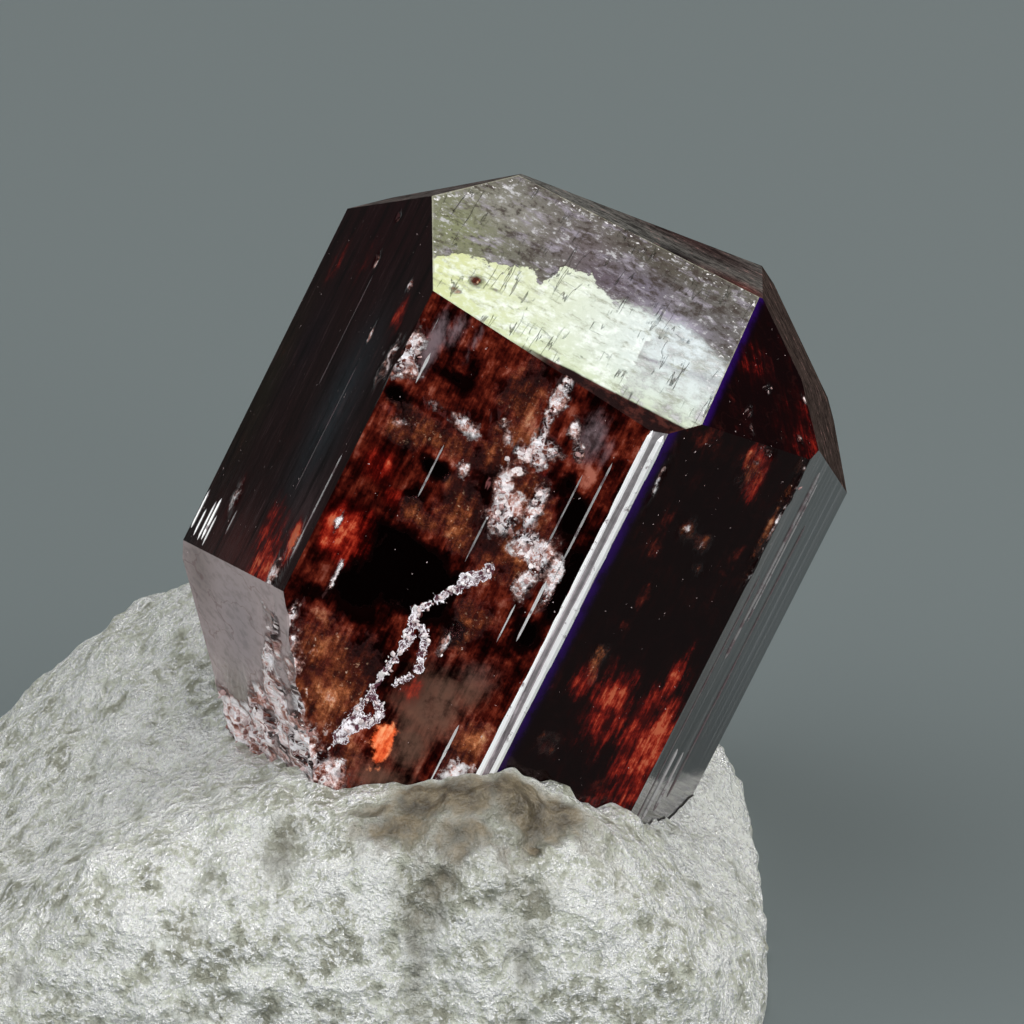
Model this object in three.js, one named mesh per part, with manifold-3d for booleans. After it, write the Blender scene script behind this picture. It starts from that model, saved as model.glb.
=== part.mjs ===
// A painite crystal on its loose piece of white marble. Millimetres, +Z up.
// The origin is the middle of the specimen's footprint, on the surface that it stands on.
// The crystal is a block cut by its crystal faces. The marble is one lumpy stone, sawn flat below,
// with a seat that the crystal is sunk into.
import * as THREE from "three";
import { mergeVertices } from "three/addons/utils/BufferGeometryUtils.js";
import Module from "manifold-3d";

// ---------- the crystal's stance ----------
const SEAT = new THREE.Vector3(2.07, -0.29, 5.61); // the crystal's own origin, on its long axis
const LEAN_BACK = 18; // degrees, about X, applied last
const LEAN_RIGHT = 26.7; // degrees, about Y
const NOD = 6.8; // degrees, about X, applied first

// ---------- the crystal's faces, in its own frame with the long axis along Z ----------
// Azimuth 0 faces -Y and 90 faces +X. A prism face is at a distance from the axis.
const PRISM = {
  front: { azimuth: -11.4, distance: 4.63 },
  front_bevel: { azimuth: 18.6, distance: 5.03 },
  right: { azimuth: 48.6, distance: 4.21 },
  right_bevel: { azimuth: 78.6, distance: 3.81 },
  back_right: { azimuth: 108.6, distance: 4.73 },
  back: { azimuth: 168.6, distance: 4.5 },
  back_left: { azimuth: -124.9, distance: 3.77 },
  left: { azimuth: -67.9, distance: 3.95 },
};
// An end face rises inwards by slope, from height at distance. A negative slope makes a lower face.
const ENDS = {
  bright: { azimuth: -3.9, slope: 0.662, distance: 4.63, height: 3.63 },
  maroon: { azimuth: 46.7, slope: 0.951, distance: 4.21, height: 3.91 },
  top: { azimuth: -6.2, slope: 0.028, distance: 0, height: 5.68 },
  shoulder_right: { azimuth: 89.5, slope: 0.768, distance: 3.81, height: 4.05 },
  shoulder_right_low: { azimuth: 87.5, slope: 1.114, distance: 3.81, height: 3.76 },
  crown_left: { azimuth: -90.6, slope: 0.805, distance: 3.84, height: 4.36 },
  crown_back: { azimuth: -130.1, slope: 0.512, distance: 4.5, height: 3.87 },
  foot_left: { azimuth: -63.3, slope: -1.701, distance: 3.87, height: -1.53 },
  foot_back_left: { azimuth: -101.4, slope: -0.889, distance: 4.2, height: -2.03 },
  root: { azimuth: 80, slope: -0.28, distance: 3.8, height: -2.5 },
};

// ---------- relief on the crystal ----------
// Grooves and steps run along the long axis: where they lie across a face, and from and to which height.
const GROOVES = [
  { face: "front_bevel", across: 0.0, from: -3.5, to: 4.4, width: 0.16, depth: 0.07 },
  { face: "front", across: -0.51, from: 1.0, to: 2.0, width: 0.08, depth: 0.05 },
  { face: "front", across: 1.47, from: -0.2, to: 2.5, width: 0.08, depth: 0.05 },
  { face: "front", across: 1.75, from: 0.0, to: 2.9, width: 0.08, depth: 0.05 },
  { face: "left", across: -1.55, from: -1.4, to: 2.4, width: 0.1, depth: 0.05 },
  { face: "left", across: 0.05, from: -1.6, to: 3.4, width: 0.1, depth: 0.05 },
  { face: "left", across: 0.9, from: -0.8, to: 3.6, width: 0.1, depth: 0.05 },
  { face: "right_bevel", across: -0.55, from: -3.0, to: 3.4, width: 0.14, depth: 0.07 },
  { face: "right_bevel", across: 0.35, from: -3.0, to: 2.4, width: 0.1, depth: 0.05 },
];
// Shallow chips, as places where a small ball is cut out: where it is, and its radius.
const CHIPS = [
  { at: [-2.62, -4.29, 3.1], radius: 0.34 },
  { at: [-2.58, -4.31, 2.5], radius: 0.28 },
  { at: [-0.08, -4.9, 2.2], radius: 0.26 },
  { at: [0.1, -4.92, 1.35], radius: 0.24 },
  { at: [-2.11, -3.72, 4.26], radius: 0.16 },
  { at: [-0.35, -1.3, 5.82], radius: 0.2 },
  { at: [2.5, -2.3, 5.35], radius: 0.3 },
];
// The crumbly lower corner is a crust of small angular grains, sunk into the crystal.
const CRUMBS = { count: 34, radius: [0.14, 0.28], highest: -1.95, lowest: -3.7, spread: 2.6, seed: 7 };
// The jagged vein across the front face, as points on that face: across it, and the height.
const VEIN = [
  [0.03, -2.49],
  [0.14, -1.72],
  [0.19, -0.99],
  [0.25, -0.34],
  [0.35, -0.03],
  [0.69, 0.4],
  [0.85, 0.72],
];
const VEIN_GRAIN = 0.1; // radius of the grains along the vein
const VEIN_STEP = 0.22; // spacing of those grains

// ---------- the marble ----------
const STONE = {
  middle: [0.88, 0], // where its left and right, front and back halves join
  left: 8.38,
  right: 5.34,
  depth: 7.3, // to the front and to the back
  corner: 3.9, // how square the outline is: 2 is an ellipse
  shoulder: 2.14, // how far out the top stays level
  wall: 2.76, // how steep the sides are
};
// The height of the stone's top: its value on the crest line, its slopes, and how it bends.
const CREST = { at: [0.88, -1.0], height: 3.77, slopeRight: -0.082, slopeBack: 0.079 };
const BEND = { across: -0.071, front: 0.096, back: 0.009 };
const LOWEST_TOP = 1.45; // the top bends off towards this height and doesn't fall to nothing
// Swellings of the stone: where, how wide and how high. One below nothing is a dip.
const SWELLS = [
  { at: [2.5, -5.85], width: 0.95, height: 0.9 },
  { at: [-3.5, 3.0], width: 2.5, height: 0.92 },
  { at: [4.07, -3.61], width: 0.55, height: 0.45 },
  { at: [4.86, -0.46], width: 0.72, height: -0.38 },
];
// Pits in the stone's skin: where in plan, how wide and how deep.
const PITS = [
  { at: [-0.89, -6.4], width: 0.38, depth: 0.3 },
  { at: [-2.03, -6.32], width: 0.34, depth: 0.24 },
  { at: [1.09, -7.05], width: 0.3, depth: 0.3 },
  { at: [2.56, -7.0], width: 0.3, depth: 0.28 },
  { at: [2.85, -6.26], width: 0.28, depth: 0.22 },
  { at: [-2.56, -1.83], width: 0.4, depth: 0.2 },
  { at: [-4.65, -6.4], width: 0.3, depth: 0.2 },
];
const LUMPS = { height: 0.1, size: 0.62 }; // the stone's uneven skin
const SEAT_GAP = 0.2; // clearance between the crystal's faces and its seat
const GRAIN_PROUD = 0.11; // how far the grains may stand out of the crystal's faces
const RINGS = 26;
const SPOKES = 104;

// ---------- helpers ----------
const radians = THREE.MathUtils.degToRad;
const outward = (azimuth) =>
  new THREE.Vector3(Math.sin(radians(azimuth)), -Math.cos(radians(azimuth)), 0);

/** A repeatable stream of numbers from 0 to 1. */
function randomStream(seed) {
  let state = seed;
  return () => {
    state = (state * 1664525 + 1013904223) % 4294967296;
    return state / 4294967296;
  };
}

const wasm = await Module();
wasm.setup();

const WELD = 0.012; // points of a cut closer than this become one

/** A three.js geometry as a solid. */
function solid(geometry) {
  const bare = geometry.clone();
  bare.deleteAttribute("normal");
  bare.deleteAttribute("uv");
  const merged = mergeVertices(bare, 1e-5);
  return new wasm.Manifold(
    new wasm.Mesh({
      numProp: 3,
      vertProperties: new Float32Array(merged.attributes.position.array),
      triVerts: new Uint32Array(merged.index.array),
    }),
  );
}

/** A solid as a three.js geometry. */
function geometryOf(made) {
  const mesh = made.getMesh();
  const geometry = new THREE.BufferGeometry();
  geometry.setAttribute("position", new THREE.BufferAttribute(new Float32Array(mesh.vertProperties), 3));
  geometry.setIndex(new THREE.BufferAttribute(new Uint32Array(mesh.triVerts), 1));
  geometry.computeVertexNormals();
  return geometry;
}

// ---------- the crystal ----------
/** Every face as a plane: its outward normal, and its distance from the origin plus the growth. */
function facePlanes(growth = 0) {
  const planes = Object.values(PRISM).map((f) => ({ normal: outward(f.azimuth), distance: f.distance }));
  for (const f of Object.values(ENDS)) {
    const up = Math.sign(f.slope);
    const normal = outward(f.azimuth).multiplyScalar(f.slope * up).setZ(up);
    const distance = up * (f.height + f.slope * f.distance);
    planes.push({ normal: normal.clone().normalize(), distance: distance / normal.length() });
  }
  return planes.map((p) => ({ normal: p.normal, distance: p.distance + growth }));
}

const BLOCK = 16; // side of the rough block, larger than the crystal

/** The block that lies outside a plane. */
function outside({ normal, distance }) {
  const box = new THREE.BoxGeometry(2 * BLOCK, 2 * BLOCK, BLOCK);
  box.translate(0, 0, distance + BLOCK / 2);
  const turn = new THREE.Quaternion().setFromUnitVectors(new THREE.Vector3(0, 0, 1), normal);
  return solid(box.applyQuaternion(turn));
}

/** The crystal's plain form: a rough block with everything outside each face cut away. */
function cutCrystal(growth = 0) {
  let form = solid(new THREE.BoxGeometry(BLOCK, BLOCK, BLOCK));
  for (const plane of facePlanes(growth)) form = form.subtract(outside(plane));
  return form;
}

/** A point on a prism face, across it to the right and at a height. */
function onFace(name, across, height, proud = 0) {
  const normal = outward(PRISM[name].azimuth);
  const sideways = new THREE.Vector3(-normal.y, normal.x, 0);
  return normal
    .clone()
    .multiplyScalar(PRISM[name].distance + proud)
    .addScaledVector(sideways, across)
    .setZ(height);
}

/** A groove with a V section, along the long axis. */
function groove({ face, across, from, to, width, depth }) {
  const bar = new THREE.CylinderGeometry(1, 1, to - from, 4, 1);
  bar.rotateX(Math.PI / 2);
  bar.scale(width / 2, depth, 1);
  bar.rotateZ(radians(PRISM[face].azimuth));
  const middle = onFace(face, across, (from + to) / 2);
  return solid(bar.translate(middle.x, middle.y, middle.z));
}

/** A small angular grain, turned at random. */
function grain(at, radius, random) {
  const shape = new THREE.IcosahedronGeometry(radius, 0);
  shape.scale(0.8 + 0.2 * random(), 0.8 + 0.2 * random(), 0.8 + 0.2 * random());
  shape.rotateX(6 * random()).rotateZ(6 * random());
  return solid(shape.translate(at.x, at.y, at.z));
}

/** A point of the edge between the front face and the left foot face, at a height. */
function footEdge(height) {
  const foot = ENDS.foot_left;
  const n = outward(foot.azimuth);
  const m = outward(PRISM.front.azimuth);
  const footReach = foot.distance - (height - foot.height) / foot.slope;
  const spread = n.x * m.y - n.y * m.x;
  const x = (footReach * m.y - PRISM.front.distance * n.y) / spread;
  const y = (n.x * PRISM.front.distance - m.x * footReach) / spread;
  return new THREE.Vector3(x, y, height);
}

/** The places of the crumbs: they spread further back along the foot face the lower they are. */
function crumbPlaces(random) {
  const places = [];
  const foot = outward(ENDS.foot_left.azimuth);
  const front = outward(PRISM.front.azimuth);
  const [small, large] = CRUMBS.radius;
  for (let i = 0; i < CRUMBS.count; i += 1) {
    const drop = Math.sqrt(random());
    const back = random() * CRUMBS.spread * drop ** 2;
    const radius = small + (large - small) * random();
    const sunk = radius - GRAIN_PROUD;
    const at = footEdge(CRUMBS.highest + (CRUMBS.lowest - CRUMBS.highest) * drop);
    at.addScaledVector(new THREE.Vector3(foot.y, -foot.x, 0), back);
    at.addScaledVector(foot, -sunk).addScaledVector(front, -Math.max(0, sunk - back));
    places.push({ at, radius });
  }
  return places;
}

/** The grains of the vein, one each VEIN_STEP along its points. */
function veinPlaces(random) {
  const points = VEIN.map(([across, height]) => onFace("front", across, height, GRAIN_PROUD / 2 - VEIN_GRAIN));
  const route = new THREE.CatmullRomCurve3(points);
  const count = Math.round(route.getLength() / VEIN_STEP);
  return route.getSpacedPoints(count).map((at) => ({ at, radius: VEIN_GRAIN * (0.9 + 0.3 * random()) }));
}

function makeCrystal() {
  let crystal = cutCrystal();
  for (const line of GROOVES) crystal = crystal.subtract(groove(line));
  const random = randomStream(CRUMBS.seed);
  for (const { at, radius } of CHIPS) crystal = crystal.subtract(grain(new THREE.Vector3(...at), radius, random));
  const grown = [...crumbPlaces(random), ...veinPlaces(random)];
  for (const { at, radius } of grown) crystal = crystal.add(grain(at, radius, random));
  return crystal.asOriginal().simplify(WELD);
}

/** From the crystal's own frame to the part's. */
const stance = new THREE.Matrix4()
  .makeTranslation(SEAT.x, SEAT.y, SEAT.z)
  .multiply(new THREE.Matrix4().makeRotationX(radians(-LEAN_BACK)))
  .multiply(new THREE.Matrix4().makeRotationY(radians(LEAN_RIGHT)))
  .multiply(new THREE.Matrix4().makeRotationX(radians(NOD)));

// ---------- the marble ----------
const bell = (x, y, { at, width }) => Math.exp(-((x - at[0]) ** 2 + (y - at[1]) ** 2) / (2 * width ** 2));

/** How high the stone would stand at a place if it had no sides. */
function topHeight(x, y) {
  const dx = x - CREST.at[0];
  const dy = y - CREST.at[1];
  let height = CREST.height + CREST.slopeRight * dx + CREST.slopeBack * dy;
  height += BEND.across * dx ** 2 + (dy < 0 ? BEND.front : BEND.back) * dy ** 2;
  for (const swell of SWELLS) height += swell.height * bell(x, y, swell);
  const over = height - LOWEST_TOP;
  return LOWEST_TOP + (over + Math.hypot(over, 1)) / 2;
}

/** An uneven skin from a few crossed waves, from -1 to 1. */
function unevenness(x, y, z) {
  const k = 1 / LUMPS.size;
  const slow = Math.sin(1.1 * k * x + 0.7 * k * z + 1.3) * Math.sin(0.9 * k * y - 0.8 * k * z + 0.4);
  const quick = Math.sin(2.3 * k * (x + y) + 0.9) * Math.sin(2.1 * k * (z - 0.6 * x) + 2.2);
  return 0.65 * slow + 0.35 * quick;
}

/** A point of the stone's skin: ring 0 is the top's middle, ring 1 the base's edge. */
function stonePoint(turn, ring) {
  const [cx, cy] = STONE.middle;
  const level = Math.cos((ring * Math.PI) / 2);
  const reach = (1 - level ** STONE.wall) ** (1 / STONE.shoulder);
  const c = Math.cos(turn);
  const s = Math.sin(turn);
  const round = (Math.abs(c) ** STONE.corner + Math.abs(s) ** STONE.corner) ** (1 / STONE.corner);
  const x = cx + ((c > 0 ? STONE.right : STONE.left) * reach * c) / round;
  const y = cy + (STONE.depth * reach * s) / round;
  const z = topHeight(x, y) * level;
  let inward = LUMPS.height * (0.5 + unevenness(x, y, z)) * Math.min(1, 6 * level);
  for (const pit of PITS) inward += pit.depth * bell(x, y, pit) * Math.min(1, 3 * level);
  const shrink = 1 - (inward * ring) / STONE.depth;
  return [cx + (x - cx) * shrink, cy + (y - cy) * shrink, Math.max(0, z - inward * (1 - 0.5 * ring))];
}

/** The stone as one closed skin: a top point, rings down to the base, and the flat base. */
function stoneSkin() {
  const points = [stonePoint(0, 0)];
  for (let r = 1; r <= RINGS; r += 1)
    for (let s = 0; s < SPOKES; s += 1) points.push(stonePoint((2 * Math.PI * s) / SPOKES, r / RINGS));
  points.push([...STONE.middle, 0]);
  const at = (r, s) => 1 + (r - 1) * SPOKES + (s % SPOKES);
  const triangles = [];
  for (let s = 0; s < SPOKES; s += 1) {
    triangles.push(0, at(1, s), at(1, s + 1));
    for (let r = 1; r < RINGS; r += 1) {
      triangles.push(at(r, s), at(r + 1, s), at(r + 1, s + 1));
      triangles.push(at(r, s), at(r + 1, s + 1), at(r, s + 1));
    }
    triangles.push(at(RINGS, s), points.length - 1, at(RINGS, s + 1));
  }
  const geometry = new THREE.BufferGeometry();
  geometry.setAttribute("position", new THREE.Float32BufferAttribute(points.flat(), 3));
  geometry.setIndex(triangles);
  return geometry;
}

function makeMarble() {
  const seat = cutCrystal(SEAT_GAP).transform(stance.elements);
  return solid(stoneSkin()).subtract(seat).asOriginal().simplify(WELD);
}

// ---------- the part ----------
const painite = new THREE.MeshStandardMaterial({ color: 0x3a0d0c, roughness: 0.15, metalness: 0 });
const marble = new THREE.MeshStandardMaterial({ color: 0xd3d8cc, roughness: 0.4, metalness: 0 });

const crystalMesh = new THREE.Mesh(geometryOf(makeCrystal().transform(stance.elements)), painite);
crystalMesh.name = "painite_crystal";
const marbleMesh = new THREE.Mesh(geometryOf(makeMarble()), marble);
marbleMesh.name = "marble_matrix";

const specimen = new THREE.Group();
specimen.add(crystalMesh, marbleMesh);

export default specimen;
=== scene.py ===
# %% [markdown]
# # A painite crystal on white marble
# Painite is a rare dark red borate mineral. It grows as a short six-sided prism, and this one still
# sits on a loose piece of the white marble that it grew in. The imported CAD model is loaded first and
# is never changed: it says how large everything is and where it stands. The pieces below give it the
# looks, and each one replaces a plain CAD solid of the same form or adds a detail to it.

# %% Load the frame
import math
from itertools import combinations, product

import bpy
import numpy as np
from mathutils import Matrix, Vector


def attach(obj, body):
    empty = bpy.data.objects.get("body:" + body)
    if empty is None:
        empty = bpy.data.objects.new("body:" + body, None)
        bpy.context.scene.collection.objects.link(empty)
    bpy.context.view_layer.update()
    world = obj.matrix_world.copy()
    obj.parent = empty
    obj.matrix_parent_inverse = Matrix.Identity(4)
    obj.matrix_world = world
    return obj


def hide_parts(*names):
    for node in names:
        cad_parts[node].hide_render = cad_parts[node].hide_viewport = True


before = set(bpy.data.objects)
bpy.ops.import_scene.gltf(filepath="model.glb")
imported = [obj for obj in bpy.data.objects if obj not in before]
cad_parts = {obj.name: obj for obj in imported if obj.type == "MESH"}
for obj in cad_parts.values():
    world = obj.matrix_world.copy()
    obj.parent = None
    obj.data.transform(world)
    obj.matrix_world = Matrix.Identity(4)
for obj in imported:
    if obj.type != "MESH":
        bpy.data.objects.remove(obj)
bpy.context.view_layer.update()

MM = 0.001  # shapes are worked out in millimetres, and meshes are in metres

# %% [markdown]
# ## The camera
# A crystal of one centimetre is looked at from close by through a long lens, so that its edges stay
# nearly parallel. A lens of 200 mm on a full-frame sensor, looking down by 18 degrees, does that. The
# near clipping distance has to be shorter than usual, because everything here is small.

# %% Set the camera
LOOKING_DOWN = math.radians(18)
AIM = np.array([2.38, 0.0, 6.5])
DISTANCE = 85.33

camera_data = bpy.data.cameras.new("camera")
camera_data.lens, camera_data.sensor_width = 200, 36
camera_data.clip_start, camera_data.clip_end = 0.005, 20
camera = bpy.data.objects.new("camera", camera_data)
toward_camera = np.array([0, -math.cos(LOOKING_DOWN), math.sin(LOOKING_DOWN)])
camera.location = Vector(AIM + DISTANCE * toward_camera) * MM
camera.rotation_euler = (math.pi / 2 - LOOKING_DOWN, 0, 0)
bpy.context.scene.collection.objects.link(camera)
bpy.context.scene.camera = camera
print("camera at", np.round(np.array(camera.location) / MM, 1), "mm")

# %% [markdown]
# ## Helpers for meshes
# numpy holds every surface as arrays: one row per point and one row per triangle. Blender can take
# whole arrays at once through foreach_set, which is far quicker than adding points one by one.

# %% Mesh helpers
def new_mesh(name, points, triangles):
    """An object from points in millimetres and triangles that name their three points."""
    points, triangles = np.asarray(points, float), np.asarray(triangles, np.int32)
    mesh = bpy.data.meshes.new(name)
    mesh.vertices.add(len(points))
    mesh.vertices.foreach_set("co", (points * MM).ravel())
    mesh.loops.add(triangles.size)
    mesh.loops.foreach_set("vertex_index", triangles.ravel())
    mesh.polygons.add(len(triangles))
    mesh.polygons.foreach_set("loop_start", np.arange(0, triangles.size, 3, dtype=np.int32))
    mesh.polygons.foreach_set("use_smooth", np.zeros(len(triangles), bool))
    mesh.update(calc_edges=True)
    mesh.validate()
    made = bpy.data.objects.new(name, mesh)
    bpy.context.scene.collection.objects.link(made)
    print(f"{name}: {len(points)} points, {len(triangles)} triangles")
    return made


def colour_attribute(piece, name, values, domain="POINT"):
    """Stores four numbers per point, or per corner of each triangle, for the finish to read."""
    made = piece.data.attributes.new(name, "FLOAT_COLOR", domain)
    made.data.foreach_set("color", np.ascontiguousarray(values, np.float32).ravel())


def ring_walls(place):
    """Two triangles for each gap between neighbouring points of neighbouring rings."""
    after = np.roll(place, -1, axis=1)
    a, b, c, d = place[:-1], place[1:], after[1:], after[:-1]
    return np.stack([a, b, c, a, c, d], axis=-1).reshape(-1, 3)


# %% [markdown]
# ## Noise
# Natural surfaces are uneven at every scale. Value noise puts a random number at each corner of a grid
# of cubes and blends between them. Several layers of it, each half the size of the one before, give
# a rough skin. A hash of the cube's place stands for the random number, so it is the same each time.

# %% Noise helpers
def hashed(cubes, seed):
    """A repeatable number from 0 to 1 for every cube, by mixing the bits of its three whole numbers."""
    x, y, z = (cubes[..., i].astype(np.uint32) for i in range(3))
    mixed = x * np.uint32(73856093) ^ y * np.uint32(19349663) ^ z * np.uint32(83492791)
    mixed = (mixed ^ np.uint32(seed * 7919 + 13)) * np.uint32(2654435761)
    mixed = (mixed ^ (mixed >> np.uint32(15))) * np.uint32(2246822519)
    return ((mixed ^ (mixed >> np.uint32(13))) & np.uint32(0xFFFFFF)) / float(0xFFFFFF)


def noise(points, size, seed=0):
    """Value noise from -1 to 1: the eight corners' numbers, weighted by 3t^2 - 2t^3 of the way across."""
    place = points / size
    cube = np.floor(place).astype(np.int64)
    across = place - cube
    across = across * across * (3 - 2 * across)
    total = np.zeros(points.shape[:-1])
    for corner in product((0, 1), repeat=3):
        weight = np.prod(np.where(corner, across, 1 - across), axis=-1)
        total += weight * hashed(cube + np.array(corner), seed)
    return 2 * total - 1


def rough_noise(points, size, layers, seed=0):
    """Layers of noise, each half the size and 0.55 of the height of the one before."""
    return sum(noise(points, size / 2**i, seed + i) * 0.55**i for i in range(layers))


def bell(a, b, a0, b0, wide, high):
    """A soft round spot: e to the power of minus the squared distance, each way in its own width."""
    return np.exp(-(((a - a0) / wide) ** 2) - ((b - b0) / high) ** 2)


# %% [markdown]
# ## The crystal's faces
# A crystal is convex and all its faces are flat, so it is fully described by its planes. The prism
# faces stand round the long axis, each at an azimuth and a distance. The end faces also slope. The
# same values are in the CAD source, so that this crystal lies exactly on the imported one.

# %% The crystal's planes
PRISM = {  # azimuth in degrees, distance from the axis
    "front": (-11.4, 4.63), "front_bevel": (18.6, 5.03), "right": (48.6, 4.21),
    "right_bevel": (78.6, 3.81), "back_right": (108.6, 4.73), "back": (168.6, 4.5),
    "back_left": (-124.9, 3.77), "left": (-67.9, 3.95),
}
ENDS = {  # azimuth, slope, and the height that it has at a distance from the axis
    "bright": (-3.9, 0.662, 4.63, 3.63), "maroon": (46.7, 0.951, 4.21, 3.91),
    "top": (-6.2, 0.028, 0, 5.68),
    "shoulder_right": (89.5, 0.768, 3.81, 4.05), "shoulder_right_low": (87.5, 1.114, 3.81, 3.76),
    "crown_left": (-90.6, 0.805, 3.84, 4.36),
    "crown_back": (-130.1, 0.512, 4.5, 3.87), "foot_left": (-63.3, -1.701, 3.87, -1.53),
    "foot_back_left": (-101.4, -0.889, 4.2, -2.03), "root": (80, -0.28, 3.8, -2.5),
}
FACES = [*PRISM, *ENDS]


def outward(azimuth):
    """The level direction at an azimuth: (sin a, -cos a, 0)."""
    a = math.radians(azimuth)
    return np.array([math.sin(a), -math.cos(a), 0.0])


def sideways(azimuth):
    """The level direction to the right of someone who looks at the face from outside."""
    n = outward(azimuth)
    return np.array([-n[1], n[0], 0.0])


def face_plane(name):
    """A face's outward normal and its distance from the crystal's own origin."""
    if name in PRISM:
        azimuth, distance = PRISM[name]
        return outward(azimuth), distance
    azimuth, slope, distance, height = ENDS[name]
    up = math.copysign(1, slope)
    normal = outward(azimuth) * abs(slope) + np.array([0, 0, up])
    length = np.linalg.norm(normal)
    return normal / length, up * (height + slope * distance) / length


normals = np.array([face_plane(name)[0] for name in FACES])
distances = np.array([face_plane(name)[1] for name in FACES])


def cut_corners(distances):
    """Three planes meet at a point. It is a corner of the crystal if no other plane cuts it off."""
    trios = np.array(list(combinations(range(len(normals)), 3)))
    trios = trios[np.abs(np.linalg.det(normals[trios])) > 1e-4]
    points = np.linalg.solve(normals[trios], distances[trios][..., None])[..., 0]
    kept = points[(points @ normals.T <= distances + 1e-6).all(axis=1)]
    return np.unique(np.round(kept, 5), axis=0)


def outline(face, corners, distances):
    """Which corners belong to a face, in order round it as seen from outside."""
    mine = np.flatnonzero(np.abs(corners @ normals[face] - distances[face]) < 1e-4)
    arms = corners[mine] - corners[mine].mean(axis=0)
    side = np.cross(normals[face], [0.3, 0.5, 0.8])
    side /= np.linalg.norm(side)
    return mine[np.argsort(np.arctan2(arms @ np.cross(normals[face], side), arms @ side))]


corners = cut_corners(distances)
print(f"the crystal has {len(FACES)} faces and {len(corners)} corners")

# %% [markdown]
# ## A face as a sheet of points
# A face is filled with rings of points that run from its middle out to its border:
# point(u, v) = middle + v (border(u) - middle). Two faces that share an edge divide it in the
# same steps, so they can be joined without a gap. The faces that show get finer steps.

# %% Face sheets
FINE, PLAIN = 0.072, 0.16  # spacing of the points, in millimetres
SHOWN = ("front", "front_bevel", "right", "right_bevel", "left", "bright", "maroon", "top", "foot_left")


def edge_step(start, end):
    """The spacing along an edge: fine if either of its two faces is a shown one."""
    touching = np.flatnonzero(np.abs(normals @ (start + end) / 2 - distances) < 1e-4)
    return FINE if any(FACES[f] in SHOWN for f in touching) else PLAIN


def divided(start, end):
    """Points from start to just before end, the same whichever way the edge is walked."""
    count = max(1, math.ceil(np.linalg.norm(end - start) / edge_step(start, end)))
    return start + (end - start) * (np.arange(count) / count)[:, None]


def face_sheet(face):
    """The rings of a face as points, and the triangles between them."""
    turns = corners[outline(face, corners, distances)]
    border = np.concatenate([divided(a, b) for a, b in zip(turns, np.roll(turns, -1, axis=0))])
    middle = turns.mean(axis=0)
    reach = np.linalg.norm(border - middle, axis=1).mean()
    rings = max(2, math.ceil(reach / (FINE if FACES[face] in SHOWN else PLAIN)))
    level = (np.arange(1, rings + 1) / rings)[:, None, None]
    points = np.concatenate([[middle], (middle + level * (border - middle)).reshape(-1, 3)])
    place = 1 + np.arange(rings * len(border)).reshape(rings, -1)
    first = np.stack([np.zeros_like(place[0]), place[0], np.roll(place[0], -1)], axis=-1)
    return points, np.concatenate([first, ring_walls(place)])


def joined(parts):
    """Several shapes as one: their points in a row, and their triangles shifted to match."""
    starts = np.cumsum([0, *[len(points) for points, _ in parts[:-1]]])
    return (np.concatenate([points for points, _ in parts]),
            np.concatenate([triangles + start for (_, triangles), start in zip(parts, starts)]))


sheets = [face_sheet(face) for face in range(len(FACES))]
crystal_points, crystal_triangles = joined(sheets)
face_of_point = np.repeat(np.arange(len(FACES)), [len(points) for points, _ in sheets])
print(f"{len(crystal_points)} points in {len(FACES)} sheets")

# %% [markdown]
# ## Places on a face
# Marks on the crystal are given as they would be measured with a ruler on each face: how far across
# it, to the right, and how high along the crystal's axis. On an end face the second number is how far
# it lies inward from the prism. These two numbers also become the finish's own map of the face.

# %% Measure across and along every face
across_axis = np.array([sideways((PRISM.get(name) or ENDS[name])[0]) for name in FACES])
inward_axis = np.array([[0, 0, 1.0] if name in PRISM else -outward(ENDS[name][0]) for name in FACES])
inward_start = np.array([0.0 if name in PRISM else -ENDS[name][2] for name in FACES])
across = np.einsum("ij,ij->i", crystal_points, across_axis[face_of_point])
along = np.einsum("ij,ij->i", crystal_points, inward_axis[face_of_point]) - inward_start[face_of_point]
print("the faces reach", np.round([across.max(), along.max()], 2), "mm across and along")


def on(*names):
    """True for every point that belongs to one of these faces."""
    return np.isin(face_of_point, [FACES.index(name) for name in names])


def on_face(name, across, along, proud):
    """The point of a prism face at these two measures, standing proud of it by some millimetres."""
    azimuth, distance = PRISM[name]
    level = (distance + proud)[..., None] * outward(azimuth)
    return level + across[..., None] * sideways(azimuth) + along[..., None] * np.array([0, 0, 1.0])


def spots_on_faces(spots):
    """The strongest of the soft spots at every point of the crystal."""
    strength = np.zeros(len(crystal_points))
    for name, rows in spots.items():
        for *spot, most in rows:
            strength = np.maximum(strength, most * bell(across, along, *spot) * on(name))
    return strength
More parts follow.
